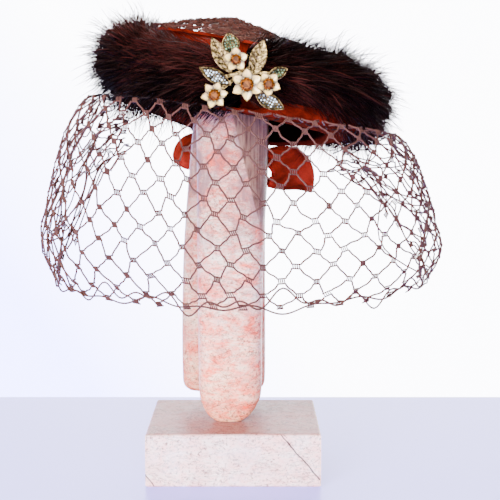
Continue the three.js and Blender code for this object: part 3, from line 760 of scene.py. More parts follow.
# Shares: back of the reach, height of the post, thick of its thickness, wide and shift of its width.
POST_SECTIONS = [
    {"back": -0.25, "height": 0.0, "thick": 0.5, "wide": 0.36, "shift": -0.08},
    {"back": -0.26, "height": 0.016, "thick": 0.66, "wide": 0.62, "shift": -0.07},
    {"back": -0.27, "height": 0.044, "thick": 0.82, "wide": 0.8, "shift": -0.06},
    {"back": -0.3, "height": 0.087, "thick": 0.92, "wide": 0.9, "shift": -0.05},
    {"back": -0.41, "height": 0.242, "thick": 0.95, "wide": 0.91, "shift": -0.05},
    {"back": -0.58, "height": 0.44, "thick": 0.95, "wide": 0.93, "shift": -0.04},
    {"back": -0.8, "height": 0.638, "thick": 1.0, "wide": 0.98, "shift": -0.01},
    {"back": -0.98, "height": 0.808, "thick": 1.0, "wide": 1.0, "shift": 0.0},
    {"back": -0.93, "height": 0.875, "thick": 0.98, "wide": 1.0, "shift": 0.0},
    {"back": -0.66, "height": 0.925, "thick": 0.84, "wide": 0.98, "shift": -0.01},
    {"back": -0.32, "height": 0.948, "thick": 0.74, "wide": 0.96, "shift": -0.02},
    {"back": 0.0, "height": 0.952, "thick": 0.7, "wide": 0.95, "shift": -0.02},
    {"back": 0.32, "height": 0.948, "thick": 0.74, "wide": 0.96, "shift": -0.02},
    {"back": 0.66, "height": 0.925, "thick": 0.84, "wide": 0.99, "shift": -0.03},
    {"back": 0.93, "height": 0.875, "thick": 0.96, "wide": 1.02, "shift": -0.04},
    {"back": 0.98, "height": 0.808, "thick": 0.98, "wide": 1.06, "shift": -0.05},
    {"back": 1.02, "height": 0.638, "thick": 0.92, "wide": 1.14, "shift": -0.1},
    {"back": 1.06, "height": 0.44, "thick": 0.87, "wide": 1.22, "shift": -0.15},
    {"back": 1.08, "height": 0.242, "thick": 0.84, "wide": 1.26, "shift": -0.165},
    {"back": 1.08, "height": 0.095, "thick": 0.82, "wide": 1.26, "shift": -0.165},
    {"back": 1.08, "height": 0.056, "thick": 0.74, "wide": 1.22, "shift": -0.165},
    {"back": 1.08, "height": 0.041, "thick": 0.56, "wide": 1.06, "shift": -0.165},
]
POST_SQUARENESS = 2.8
# The facet on the post's front: where it begins and how tall it is, as shares of the post's height, where its
# edge lies low and high, as shares of its width, and how far it leans back.
FACET = {"begins": 0.62, "tall": 0.4, "edge_low": 0.46, "edge_high": -0.1, "lean": 0.55, "ease": 0.12}


def post_middle(along):
    """The line through the middle of the post, from the foot of its front leg over the bend and down."""
    stand = settings().stand
    at = columns_at(POST_SECTIONS, along)
    return np.stack([
        at["shift"] * stand.width, at["back"] * stand.reach, POST_LOW.z + at["height"] * stand.height,
    ], axis=-1)


def post_points(around, along):
    """The arched post's surface, with a slanted edge on the front of its bend and a facet to its right."""
    stand = settings().stand
    at = columns_at(POST_SECTIONS, along)
    here = post_middle(along)
    ahead = unit(run_of(post_middle, along) * (0, 1, 1))
    out = np.stack([np.zeros(len(along)), -ahead[:, 2], ahead[:, 1]], axis=-1)
    angle = around * FULL_TURN
    square = 2 / POST_SQUARENESS
    aside = np.sign(np.cos(angle)) * np.abs(np.cos(angle)) ** square
    outward = np.sign(np.sin(angle)) * np.abs(np.sin(angle)) ** square
    points = here + out * (outward * at["thick"] * stand.thickness / 2)[:, None]
    points[:, 0] += aside * at["wide"] * stand.width / 2
    points[:, 2] = np.maximum(points[:, 2], POST_LOW.z)
    high = (points[:, 2] - FACET["begins"] * stand.height) / (FACET["tall"] * stand.height)
    high = np.clip(high, 0, 1)
    edge = between(FACET["edge_low"], FACET["edge_high"], high) * stand.width
    facet = np.clip(points[:, 0] - edge, 0, None) * FACET["lean"] * smoothly(high, 0.0, FACET["ease"])
    on_front = (points[:, 1] < here[:, 1]) & (here[:, 1] < 0)
    points[:, 1] += np.where(on_front, facet, 0)
    return points


class HAT_OT_stand(bpy.types.Operator):
    """Smooths the arched post and finishes the block and the post in pink marble"""

    bl_idname = "fur_hat.stand"
    bl_label = "Marble stand"

    def execute(self, context):
        stone = marble()
        post = piece("post", sewn(shaped_grid(72, 220, post_points)), stone, "marble", "stand_post")
        shade_smooth(post, 60)
        refinish("stand_block", stone)
        return {"FINISHED"}


# Velvet frame


def velvet_section():
    """The channel's outline: its wall, top flange, brim and turned-up lip, with rounded corners."""
    lip = -FRAME_DROP + 4 * MM
    top = WALL_RISE - VELVET_WALL
    return [
        (WALL_OUT, WALL_RISE), (WALL_OUT, lip), (WALL_OUT + 4 * MM, -FRAME_DROP),
        (BRIM_OUT - 2 * MM, -FRAME_DROP), (BRIM_OUT, -FRAME_DROP + 2 * MM), (BRIM_OUT, lip),
        (BRIM_OUT - VELVET_WALL, lip), (BRIM_OUT - VELVET_WALL, -FRAME_DROP + VELVET_WALL),
        (WALL_OUT + VELVET_WALL, -FRAME_DROP + VELVET_WALL + 1 * MM),
        (WALL_OUT + VELVET_WALL, top), (WALL_OUT + FLANGE, top), (WALL_OUT + FLANGE, WALL_RISE),
    ]


# Where, along the outline, the near-black inner wall and the underside with its painted shade end, and how
# soft those ends are.
INNER_WALL_END = 0.262
UNDERSIDE_END = 0.434
TONE_BAND = 0.012
# How much higher the lip stands at the front right, where the fur sits above it.
LIP_RISE = 10 * MM
# The velvet's folds, large and small, and how much of them shows in height and on the brim.
VELVET_FOLDS = [
    {"seed": 11, "size": 34 * MM, "deep": 0.5 * MM},
    {"seed": 12, "size": 9 * MM, "deep": 0.18 * MM},
]
FOLDS_UP = 0.6
FOLDS_ON_BRIM = 0.6


def along_outline(outline, share):
    """Points at even distances along a closed outline."""
    corners = np.array([*outline, outline[0]])
    steps = np.linalg.norm(np.diff(corners, axis=0), axis=1)
    reached = np.concatenate([[0], np.cumsum(steps)]) / steps.sum()
    return np.interp(share, reached, corners[:, 0]), np.interp(share, reached, corners[:, 1])


def velvet_frame_points(around, along):
    """The velvet channel's surface, with its folds and the lip that rises at the front right."""
    out, up = along_outline(velvet_section(), along)
    angle = around * FULL_TURN
    turn = np.sin(angle)
    near_right = smoothly(turn, 0.05, 0.3) * smoothly(1 - turn, 0.02, 0.3) * (np.cos(angle) > 0)
    on_rim = out > BRIM_OUT - VELVET_WALL - 1 * MM
    on_lip = smoothly(up, -FRAME_DROP + 2 * MM, -FRAME_DROP + 3.5 * MM) * on_rim
    up = up + on_lip * near_right * LIP_RISE
    plain = ring_points(angle, out, up)
    folds = sum(ripples(plain, fold["seed"], fold["size"]) * fold["deep"] for fold in VELVET_FOLDS)
    folds = folds * np.where(out < WALL_OUT + FLANGE, 1.0, FOLDS_ON_BRIM)
    return ring_points(angle, out + folds, up + folds * FOLDS_UP)


class HAT_OT_velvet_frame(bpy.types.Operator):
    """Covers the halo's ring in rust velvet"""

    bl_idname = "fur_hat.velvet_frame"
    bl_label = "Velvet frame"

    def execute(self, context):
        halo = settings().halo
        mesh = sewn(shaped_grid(240, 84, velvet_frame_points))
        cloth = velvet("velvet", halo.velvet, halo.velvet_shaded, dark_underside_and_inside=True)
        made = piece("velvet_frame", mesh, cloth, "velvet", "halo_frame")
        shade_smooth(made, 70)
        return {"FINISHED"}


# Fur

# Shares along each fur strip, from the brooch to the back: up and high of the half height, long of a hair,
# and low of a hair on the underside. Rise and hang are how steeply hair stands along the top and the bottom,
# in degrees, and face is the share of the rise elsewhere.
FUR_LEFT = [
    {"turn": 0.0, "up": -0.2, "high": 0.9, "long": 0.9, "low": 1.0, "rise": 26, "hang": 60, "face": 0.35},
    {"turn": 0.12, "up": -0.2, "high": 0.9, "long": 0.9, "low": 1.35, "rise": 24, "hang": 64, "face": 0.35},
    {"turn": 0.26, "up": -0.08, "high": 0.93, "long": 0.95, "low": 1.55, "rise": 22, "hang": 67, "face": 0.5},
    {"turn": 0.36, "up": 0.04, "high": 0.98, "long": 1.25, "low": 1.3, "rise": 62, "hang": 68, "face": 0.8},
    {"turn": 0.48, "up": 0.1, "high": 0.98, "long": 1.12, "low": 0.8, "rise": 88, "hang": 62, "face": 1.0},
    {"turn": 1.0, "up": 0.0, "high": 0.98, "long": 0.68, "low": 1.1, "rise": 30, "hang": 60, "face": 0.45},
]
FUR_RIGHT = [
    {"turn": 0.0, "up": 0.0, "high": 0.88, "long": 1.1, "low": 1.0, "rise": 60, "hang": 30, "face": 0.35},
    {"turn": 0.12, "up": 0.24, "high": 0.74, "long": 1.25, "low": 0.9, "rise": 72, "hang": 24, "face": 0.35},
    {"turn": 0.26, "up": 0.14, "high": 0.8, "long": 1.35, "low": 0.9, "rise": 74, "hang": 36, "face": 0.45},
    {"turn": 0.46, "up": -0.16, "high": 0.94, "long": 0.88, "low": 1.1, "rise": 74, "hang": 66, "face": 1.15},
    {"turn": 1.0, "up": 0.0, "high": 0.98, "long": 0.68, "low": 1.1, "rise": 30, "hang": 60, "face": 0.45},
]
FUR_SECTIONS = {"left": FUR_LEFT, "right": FUR_RIGHT}
FUR_SIDES = {"left": -1, "right": 1}
# The seed of each strip's first coat. The next coats take the next ones.
FUR_SEEDS = (20, 30)
# Painted light and shade: how much lighter a strip is painted along its top than in its middle, with its
# underside darker; below zero its top is darker and its underside lighter.
FUR_TOP_PAINTED_LIGHT = {"left": 0.5, "right": -0.2}
# Each coat's settings for its count and its length, the joints along a hair, its width as a share of a hair's
# and its rise as a share of the table's.
FUR_COATS = [
    {"name": "undercoat", "count": "hairs", "long": "hair", "joints": 3, "wide": 1.0, "rise": 0.8},
    {"name": "guard", "count": "guard_hairs", "long": "guard_hair", "joints": 4, "wide": 1.3, "rise": 1.0},
    {"name": "stray", "count": "stray_hairs", "long": "stray_hair", "joints": 6, "wide": 1.7, "rise": 1.15},
]
# The part of the strip's section that carries hair, as turns from straight out.
FUR_UNDER = -0.28
FUR_OVER = 0.4
# Half of the gap between the two strips.
PARTING = 1.6 * MM
# The locks: how many lie along a strip and round it, how many kinds there are, how far hairs stray into the
# next lock, how far a lock's middle is off its cell's, and how far the tips lean to it.
LOCKS_ALONG = 46
LOCKS_AROUND = 14
LOCK_KINDS = 997
LOCK_MIX = 0.22
LOCK_SHIFT = 0.35
LOCK_GATHER = 0.75
# How far a hair's tip sinks, and how much of its length is left beside the brooch.
HAIR_DROOP = 0.16
NEAR_BROOCH = 0.55


def fur_column(side, name, turn):
    """A column of the fur's table, eased from one section to the next."""
    turns = np.array(column(FUR_SECTIONS[side], "turn"))
    values = np.array(column(FUR_SECTIONS[side], name))
    after = np.clip(np.searchsorted(turns, turn, side="left"), 1, len(turns) - 1)
    share = smoothly((turn - turns[after - 1]) / (turns[after] - turns[after - 1]), 0, 1)
    return between(values[after - 1], values[after], share)


def fur_points(side, turn, around, fullness):
    """Points on a strip, by its turn from the brooch to the back and round its section, in turns."""
    fur = settings().fur
    middle_out = WALL_OUT + VELVET_WALL + SEAT_GAP + fur.half_depth
    parting = PARTING / settings().halo.half_depth
    angle = FUR_SIDES[side] * (parting + turn * (math.pi - 2 * parting))
    up = fur_column(side, "up", turn)
    high = fur_column(side, "high", turn)
    return ring_points(
        angle,
        middle_out + fur.half_depth * fullness * np.cos(around * FULL_TURN),
        fur.half_height * (up + high * fullness * np.sin(around * FULL_TURN)),
    )


def fur_skin_mesh(side):
    """The lumpy ground that carries the hair, narrowed to a blunt end at the brooch and at the back."""
    body = settings().fur.body

    def place(across, down):
        ends = smoothly(down, 0, 0.012) * smoothly(1 - down, 0, 0.012)
        lumps = 1 + 0.03 * np.sin(down * 90) * np.sin(across * 31)
        return fur_points(side, down, across, body * lumps * (0.55 + 0.45 * ends))

    return sewn(shaped_grid(40, 150, place))


def hair_template(joints):
    """A flat blade that narrows to a point: its corners are a side from -1 to 1 and a share along it."""
    blade = bmesh.new()
    bmesh.ops.create_grid(blade, x_segments=1, y_segments=joints, size=0.5)
    tips = [vert for vert in blade.verts if vert.co.y > 0.499]
    bmesh.ops.pointmerge(blade, verts=tips, merge_co=(0, 0.5, 0))
    blade.verts.index_update()
    corners, faces = template_of(blade)
    return corners[:, 0] * 2, corners[:, 1] + 0.5, faces


def fur_locks(rng, turn, around):
    """Each hair's lock: its four traits from -1 to 1, and where its middle lies along and round the strip."""
    lock_along = np.floor(turn * LOCKS_ALONG + rng.normal(0, LOCK_MIX, len(turn)))
    lock_around = np.floor((around + 1) * LOCKS_AROUND + rng.normal(0, LOCK_MIX, len(turn)))
    lock = ((lock_along * 57 + lock_around * 131) % LOCK_KINDS).astype(int)
    traits = rng.uniform(-1, 1, (LOCK_KINDS, 4))[lock]
    middle_turn = np.clip((lock_along + 0.5 + LOCK_SHIFT * traits[:, 0]) / LOCKS_ALONG, 0.0, 1.0)
    middle_around = (lock_around + 0.5 + LOCK_SHIFT * traits[:, 1]) / LOCKS_AROUND - 1
    return traits, middle_turn, middle_around


def hair_lift(side, turn, around, rise_share):
    """How steeply each hair stands up from the skin."""
    top = np.radians(fur_column(side, "rise", turn)) * rise_share
    hang = np.radians(fur_column(side, "hang", turn)) * rise_share
    on_edge = np.abs(np.sin(around * FULL_TURN)) ** 2
    return between(top * fur_column(side, "face", turn), np.where(around > 0, top, hang), on_edge)


def fur_hairs(name, side, coat, seed):
    """Hairs that lie away from the brooch, gathered in locks, and stand up along the top and the bottom."""
    fur = settings().fur
    rng = np.random.default_rng(seed)
    count = getattr(fur, coat["count"])
    turn = rng.uniform(0.0, 1.0, count)
    around = rng.uniform(FUR_UNDER, FUR_OVER, count)
    upward = np.sin(around * FULL_TURN)
    traits, middle_turn, middle_around = fur_locks(rng, turn, around)

    def surface(across, down):
        return fur_points(side, down, across, fur.body)

    root = surface(around, turn)
    _, flow, outward = directions(surface, around, turn)
    outward *= np.sign(np.sum(outward * (root - surface(around + 0.5, turn)), axis=1))[:, None]
    lift = hair_lift(side, turn, around, coat["rise"])
    lift += np.radians(12) * traits[:, 2] + np.radians(7) * rng.normal(size=count)
    yaw = np.radians(17) * traits[:, 3] + np.radians(8) * rng.normal(size=count)
    heading = swung(flow, np.cross(flow, outward), yaw)
    start = unit(swung(heading, outward, lift * 1.25))
    end = unit(swung(heading, outward, lift * 0.6))
    reach = getattr(fur, coat["long"]) * rng.uniform(0.6, 1.15, count) * fur_column(side, "long", turn)
    reach *= between(1, fur_column(side, "low", turn), np.clip(-upward, 0, 1))
    reach *= between(NEAR_BROOCH, 1, smoothly(turn, 0.0, 0.05))
    gather = (surface(middle_around, middle_turn) - root) * LOCK_GATHER
    gather -= flow * np.sum(gather * flow, axis=1)[:, None] * 0.5
    blade_side, blade_along, faces = hair_template(coat["joints"])
    t = blade_along[None, :, None]
    path = reach[:, None, None] * ((t - t ** 2 / 2) * start[:, None] + t ** 2 / 2 * end[:, None])
    path = path + root[:, None] + gather[:, None] * t ** 2
    path[..., 2] -= reach[:, None] * HAIR_DROOP * blade_along[None] ** 2
    blade_across = unit(np.cross(start, rng.normal(size=(count, 3))))
    narrowing = (1 - 0.5 * blade_along) * blade_side
    widths = fur.hair_width * coat["wide"] / 2 * rng.uniform(0.7, 1.4, count)
    points = path + blade_across[:, None] * (widths[:, None] * narrowing[None])[..., None]
    # Each hair's shade: tone that differs by patch, lock and hair, which also lays painted highlight streaks
    # on the locks.
    shade = 0.44 + 0.3 * ripples(root, seed, 60 * MM, 2) + 0.26 * traits[:, 2] + 0.24 * rng.normal(size=count)
    # Painted light along the top of a strip and painted shade below it, or the other way round.
    shade = np.clip(shade + FUR_TOP_PAINTED_LIGHT[side] * upward, 0, 1)
    uv = np.stack(np.broadcast_arrays(shade[:, None], blade_along[None]), axis=-1)
    return many_copies(name, faces, points, uv)


class HAT_OT_fur(bpy.types.Operator):
    """Grows the two fur strips: a dark skin, an undercoat and long guard hairs"""

    bl_idname = "fur_hat.fur"
    bl_label = "Fur strips"

    def execute(self, context):
        hair = fur_hair()
        skin = fur_skin()
        for strip, side in enumerate(FUR_SIDES):
            shade_smooth(piece(f"fur_{side}_skin", fur_skin_mesh(side), skin, "fur", f"fur_{side}"))
            for number, coat in enumerate(FUR_COATS):
                name = f"fur_{side}_{coat['name']}"
                hairs = fur_hairs(name, side, coat, FUR_SEEDS[strip] + number)
                shade_smooth(piece(name, hairs, hair, "fur"))
        return {"FINISHED"}


# Nets

# Shares down the veil: spread of its reach beyond the halo, and fall of its height.
VEIL_PROFILE = [
    {"spread": 0.0, "fall": 0.0},
    {"spread": 0.42, "fall": -0.02},
    {"spread": 0.68, "fall": 0.15},
    {"spread": 0.82, "fall": 0.36},
    {"spread": 0.93, "fall": 0.58},
    {"spread": 1.0, "fall": 0.8},
    {"spread": 0.84, "fall": 1.0},
]
# The veil's top lies this far out from the fur's middle and this far below the brim.
VEIL_TOP_OUT = 9 * MM
VEIL_UNDER_BRIM = 1.4 * MM
# Its reach beyond the halo in front, its fall from the halo's line, and how much lower its hem is in front.
VEIL_FRONT_SPREAD = 47 * MM
VEIL_DROP = 174 * MM
VEIL_HEM_DIP = 9 * MM
# From this many degrees on it is drawn up, by this share of its fall at the ends.
VEIL_DRAWN_FROM = 84
VEIL_DRAWN_SHARE = 0.78
# How many degrees round each side it goes, and its reach beyond the halo there.
VEIL_SIDES = {"left": {"reach": 124, "spread": 78 * MM}, "right": {"reach": 136, "spread": 71 * MM}}
# The crown net's middle, sideways, its height over the post and over the velvet's rim, and its layers.
CROWN_MIDDLE = -2 * MM
CROWN_OVER_POST = 3.1 * MM
CROWN_OVER_RIM = 1.4 * MM
CROWN_LAYERS = 2


def veil_points(across, down):
    """The veil's surface, drawn up towards both ends at the back."""
    share = 2 * np.asarray(across, float) - 1
    left = share < 0
    reach = np.where(left, VEIL_SIDES["left"]["reach"], VEIL_SIDES["right"]["reach"])
    side_spread = np.where(left, VEIL_SIDES["left"]["spread"], VEIL_SIDES["right"]["spread"])
    angle = np.radians(share * reach)
    drawn = VEIL_DRAWN_SHARE * smoothly(np.abs(share) * reach, VEIL_DRAWN_FROM, reach)
    at = columns_at(VEIL_PROFILE, down)
    spread = between(VEIL_FRONT_SPREAD, side_spread, np.sin(angle) ** 2) * (1 - drawn / 2)
    top = ring_points(angle, VEIL_TOP_OUT, -FRAME_DROP - VEIL_UNDER_BRIM)
    hem = settings().halo.height - VEIL_DROP - VEIL_HEM_DIP * np.clip(np.cos(angle), 0, None)
    fall = (top[:, 2] - hem) * (1 - drawn)
    points = top.copy()
    points[:, 0] += np.sin(angle) * spread * at["spread"]
    points[:, 1] -= np.cos(angle) * spread * at["spread"]
    points[:, 2] -= fall * at["fall"]
    return points


def crown_points(across, inward):
    """The net drawn over the open crown and the top of the post."""
    angle = np.asarray(across, float) * FULL_TURN
    rim = ring_points(angle, WALL_OUT + FLANGE - 1 * MM, WALL_RISE + CROWN_OVER_RIM)
    left = 1 - np.asarray(inward, float)
    fall = 1.5 + 0.45 * (1 - np.cos(angle)) - 0.7 * np.clip(np.sin(angle), 0, 1)
    return np.stack([
        CROWN_MIDDLE + (rim[:, 0] - CROWN_MIDDLE) * left,
        rim[:, 1] * left,
        rim[:, 2] + (POST_HIGH.z + CROWN_OVER_POST - rim[:, 2]) * (1 - left ** fall),
    ], axis=-1)


# A knot is at most this share of its cell, wide and high, and its rails stand out this far to each side.
KNOT_WIDE_SHARE = 0.26
KNOT_HIGH_SHARE = 0.2
KNOT_RAIL = 1.15
# Where the wraps cross a knot, from its left to its right, and how much each of them slants.
KNOT_WRAPS = (-0.75, -0.25, 0.25, 0.75)
WRAP_SLANT = 0.16
WRAP_HIGH = 1.1
# How many points a strand has, and how far it swings out of its straight way at the knots.
STRAND_POINTS = 8
STRAND_SWING = 0.14


def knot_rows(columns, half_rows, closed):
    """The knots in offset rows: the number of each by its place and row, and their shares across and down."""
    number = {}
    places = []
    for row in range(half_rows + 1):
        count = columns if closed or row % 2 else columns + 1
        for step in range(count):
            across = (step + (row % 2) / 2) / columns
            number[(2 * step + row % 2, row)] = len(places)
            places.append((across, row / half_rows))
    return number, np.array(places)


def net_lines(surface, columns, rows, seed, jitter, slackness, crumple=0.0, closed=False, shift=0.0,
              first_knot=0, sewn_rows=(0, 0)):
    """The threads of a knotted net on a surface: slack strands between knots, ladders of wraps, and the
    strands of the rows that are sewn on, whose number is given for the left and the right half; these are
    kept apart to be drawn dark, as painted shade."""
    net = settings().net
    rng = np.random.default_rng(seed)
    half_rows = 2 * rows
    number, places = knot_rows(columns, half_rows, closed)
    loose = rng.normal(0, jitter, places.shape) / (columns, half_rows)
    loose[:, 1] *= (places[:, 1] > 0) & (places[:, 1] < 1)
    across = places[:, 0] + loose[:, 0] + shift
    down = np.clip(places[:, 1] + loose[:, 1], 0, 1)
    if not closed:
        across = np.clip(across, 0, 1)
    point = surface(across, down)
    side, fall, normal = directions(surface, across, down)
    if crumple:
        point = point + normal * (ripples(point, seed, 30 * MM) * crumple)[:, None]
    half_cell = 0.5 / columns
    cell = np.linalg.norm(surface(across + half_cell, down) - surface(across - half_cell, down), axis=1)
    half_wide = np.minimum(net.knot_width, KNOT_WIDE_SHARE * cell) / 2 * rng.uniform(0.75, 1.15, len(point))
    half_high = np.minimum(net.knot_height, KNOT_HIGH_SHARE * cell) / 2 * rng.uniform(0.8, 1.15, len(point))
    tilt = rng.normal(0, 0.14, len(point))
    rail = swung(side, fall, tilt)
    post = swung(fall, -side, tilt)

    def corner(knot, right, low):
        return point[knot] + rail[knot] * half_wide[knot] * right + post[knot] * half_high[knot] * low

    def strand(knot, other, right):
        first, last = corner(knot, right, 1), corner(other, -right, -1)
        span = last - first
        slack = np.linalg.norm(span) * rng.normal(0, slackness)
        bow = side[knot] * slack + np.array([0, 0, -abs(slack)])
        swing = (post[knot] * half_high[knot] + post[other] * half_high[other]) * STRAND_SWING
        share = np.linspace(0, 1, STRAND_POINTS)[:, None]
        return first + span * share + np.sin(math.pi * share) * bow + np.sin(FULL_TURN * share) * swing

    lines, wraps, seam = [], [], []
    for (place, row), knot in number.items():
        strands = seam if row < sewn_rows[place >= columns] else lines
        for right in (-1, 1):
            below = (place + right) % (2 * columns) if closed else place + right
            other = number.get((below, row + 1))
            if other is not None:
                strands.append(strand(knot, other, right))
        if row < first_knot:
            continue
        lift = normal[knot] * net.thread * 0.5
        for low in (-1, 1):
            wraps.append([corner(knot, -KNOT_RAIL, low) + lift, corner(knot, KNOT_RAIL, low) + lift])
        for step in KNOT_WRAPS:
            wraps.append([corner(knot, step - WRAP_SLANT, -WRAP_HIGH) - lift,
                          corner(knot, step + WRAP_SLANT, WRAP_HIGH) + lift])
    return lines, wraps, seam


EDGE_POINTS = 240


def edge_line(surface, down, seed, waves, wander):
    """A running thread along one edge of a net, a little uneven."""
    rng = np.random.default_rng(seed)
    across = np.linspace(0, 1, EDGE_POINTS)
    points = surface(across, np.full(EDGE_POINTS, down))
    phases = rng.uniform(0, FULL_TURN, 3)
    for phase, often in zip(phases, (waves, waves * 1.7, waves * 0.4)):
        points[:, 2] += np.sin(across * FULL_TURN * often + phase) * wander / 2
    return points


# The veil's nets: start and end along it, how many cells, how loose they lie, how far inside the veil,
# and how many half rows on its left are drawn in dark thread as painted shade, where they lie under the fur.
# On the right it is always one.
VEIL_NETS = [
    {"name": "veil", "start": 0.1, "end": 0.87, "columns": 21, "rows": 8,
     "jitter": 0.07, "crumple": 0.6 * MM, "slack": 0.035, "inset": 0.0, "seam": 3},
    {"name": "veil_back_left", "start": 0.0, "end": 0.13, "columns": 3, "rows": 5,
     "jitter": 0.2, "crumple": 4 * MM, "slack": 0.1, "inset": 0.0, "seam": 1},
    {"name": "veil_back_right", "start": 0.84, "end": 1.0, "columns": 3, "rows": 4,
     "jitter": 0.2, "crumple": 4 * MM, "slack": 0.1, "inset": 0.0, "seam": 1},
    {"name": "veil_fold_left", "start": 0.0, "end": 0.22, "columns": 3, "rows": 3,
     "jitter": 0.3, "crumple": 8 * MM, "slack": 0.14, "inset": 8 * MM, "seam": 1},
    {"name": "veil_fold_right", "start": 0.78, "end": 1.0, "columns": 3, "rows": 3,
     "jitter": 0.3, "crumple": 8 * MM, "slack": 0.14, "inset": 8 * MM, "seam": 1},
]


# The running threads along the veil's hem.
VEIL_HEMS = [
    {"down": 1.0, "seed": 42, "waves": 9, "wander": 4 * MM},
    {"down": 0.97, "seed": 44, "waves": 13, "wander": 8 * MM},
]
# The first row with wrapped knots, and the thickness of wraps and of the dark threads of painted shade beside
# a thread's.
VEIL_FIRST_KNOT = 3
WRAP_THICK = 0.38
SHADE_ROWS_THICK = 0.28
CROWN_THICK = 0.3


def veil_part(net):
    """The part of the veil's surface that one of its nets covers."""

    def place(across, down):
        points = veil_points(between(net["start"], net["end"], across), down)
        if not net["inset"]:
            return points
        outward = unit((points - (settings().halo.middle, 0, 0)) * (1, 1, 0))
        return points - outward * (net["inset"] * (1 + 0.5 * np.sin(9 * across + 5 * down)))[:, None]

    return place


class HAT_OT_veil(bpy.types.Operator):
    """Knots the veil: a net of slack cells in front, a wavy hem and gathered folds at both ends"""

    bl_idname = "fur_hat.veil"
    bl_label = "Net veil"

    def execute(self, context):
        net = settings().net
        thread = net_thread("veil_thread", net.taupe)
        painted_shade_strands = []
        for number, part in enumerate(VEIL_NETS):
            name = part["name"]
            lines, wraps, seam = net_lines(
                veil_part(part), part["columns"], part["rows"], 41 + number, part["jitter"], part["slack"],
                crumple=part["crumple"], first_knot=VEIL_FIRST_KNOT, sewn_rows=(part["seam"], 1),
            )
            painted_shade_strands += seam
            nodes = []
            if name == "veil":
                nodes.append("veil_net")
                lines += [edge_line(veil_points, **hem) for hem in VEIL_HEMS]
            piece(name, threads(name, lines, net.thread / 2), thread, "net", *nodes)
            knots = threads(f"{name}_knots", wraps, net.thread * WRAP_THICK, 0)
            piece(f"{name}_knots", knots, thread, "net")
        # The top rows under the fur are drawn in a dark thread colour, as painted shade.
        dark = net_thread("veil_seam_thread", net.seam)
        piece("veil_seam", threads("veil_seam", painted_shade_strands, net.thread * SHADE_ROWS_THICK, 0), dark, "net")
        return {"FINISHED"}


class HAT_OT_crown_net(bpy.types.Operator):
    """Draws layers of gathered net over the open crown"""

    bl_idname = "fur_hat.crown_net"
    bl_label = "Crown net"

    def execute(self, context):
        net = settings().net
        thread = net_thread("crown_thread", net.rose)
        lines = []
        for layer in range(CROWN_LAYERS):

            def layered(across, inward, layer=layer):
                points = crown_points(across, inward)
                wave = ripples(points, 60 + layer, 30 * MM) * 1.6 * MM
                points[:, 2] += wave + (layer - 0.5) * 1.2 * MM
                return points

            strands, wraps, _ = net_lines(
                layered, net.crown_columns, net.crown_rows, 61 + layer, 0.3, 0.08,
                closed=True, shift=layer / CROWN_LAYERS / net.crown_columns,
            )
            lines += strands + wraps
            lines.append(edge_line(layered, 0.02, 70 + layer, 40, 0.8 * MM))
        net_threads = threads("crown_net_threads", lines, net.thread * CROWN_THICK, 0)
        piece("crown_net_threads", net_threads, thread, "net", "crown_net")
        return {"FINISHED"}


# Bow

# Shares along a loop: out of the reach, down of the drop, back of the bulge, wide of the ribbon.
# Turn is the slant of the ribbon's width, in degrees from upright to level.
LOOP_SECTIONS = [
    {"out": 0.208, "down": 0.03, "back": 0.27, "wide": 0.2, "turn": 5},
    {"out": 0.42, "down": 0.08, "back": -0.05, "wide": 0.3, "turn": 25},
    {"out": 0.64, "down": 0.12, "back": -0.25, "wide": 0.6, "turn": 60},
    {"out": 0.86, "down": 0.28, "back": -0.3, "wide": 0.9, "turn": 80},
    {"out": 0.96, "down": 0.5, "back": -0.28, "wide": 1.0, "turn": 88},
    {"out": 1.0, "down": 0.76, "back": -0.15, "wide": 1.0, "turn": 90},
    {"out": 1.0, "down": 0.94, "back": 0.15, "wide": 1.0, "turn": 90},
    {"out": 1.0, "down": 1.0, "back": 0.5, "wide": 1.0, "turn": 90},
    {"out": 1.0, "down": 0.94, "back": 0.85, "wide": 1.0, "turn": 90},
    {"out": 0.98, "down": 0.74, "back": 1.1, "wide": 1.0, "turn": 88},
    {"out": 0.92, "down": 0.48, "back": 1.15, "wide": 0.92, "turn": 80},
    {"out": 0.74, "down": 0.28, "back": 1.1, "wide": 0.6, "turn": 62},
    {"out": 0.5, "down": 0.2, "back": 0.95, "wide": 0.3, "turn": 28},
    {"out": 0.208, "down": 0.1, "back": 0.6, "wide": 0.2, "turn": 8},
]
BOW_LOOPS = {
    "left": {"side": -1, "yaw": 52, "roll": 17},
    "right": {"side": 1, "yaw": 8, "roll": 6},
}
BOW_BACK_MIDDLE = 0.4
# The cells of a loop, across the ribbon and along it.
LOOP_CELLS = (24, 110)


def bow_loop_surface(loop):
    """The middle of the ribbon's thickness, by shares across its width and along the loop."""
    bow = settings().bow
    side = loop["side"]
    knot = np.array((KNOT_LOW + KNOT_HIGH) / 2)
    roll = np.array(Matrix.Rotation(math.radians(loop["roll"]), 3, "Y")).T

    def yaw_at(out):
        return side * math.radians(loop["yaw"]) * smoothly(out, 0.3, 0.85)

    def middle(along):
        at = columns_at(LOOP_SECTIONS, along)
        yaw = yaw_at(at["out"])
        behind = (at["back"] - BOW_BACK_MIDDLE) * bow.bulge
        return np.stack([
            side * at["out"] * bow.reach - behind * np.sin(yaw),
            behind * np.cos(yaw),
            -at["down"] * bow.drop,
        ], axis=-1)

    def place(across, along):
        at = columns_at(LOOP_SECTIONS, along)
        ahead = unit(run_of(middle, along))
        lean = np.radians(at["turn"])
        yaw = yaw_at(at["out"])
        level = side * np.sin(lean)
        wide = np.stack([level * np.cos(yaw), level * np.sin(yaw), np.cos(lean)], axis=-1)
        wide = unit(wide - ahead * np.sum(wide * ahead, axis=1)[:, None])
        face = np.cross(ahead, wide)
        share = 2 * across - 1
        half = at["wide"] * bow.ribbon_width / 2
        gathered = np.sin(share * 11 + side) * (1 - at["wide"]) * 1.5 * MM
        waves = np.sin(share * 4 + 6 * along) * 0.8 * MM
        points = middle(along) + wide * (share * half)[:, None] + face * (gathered + waves)[:, None]
        return points @ roll + knot

    return place


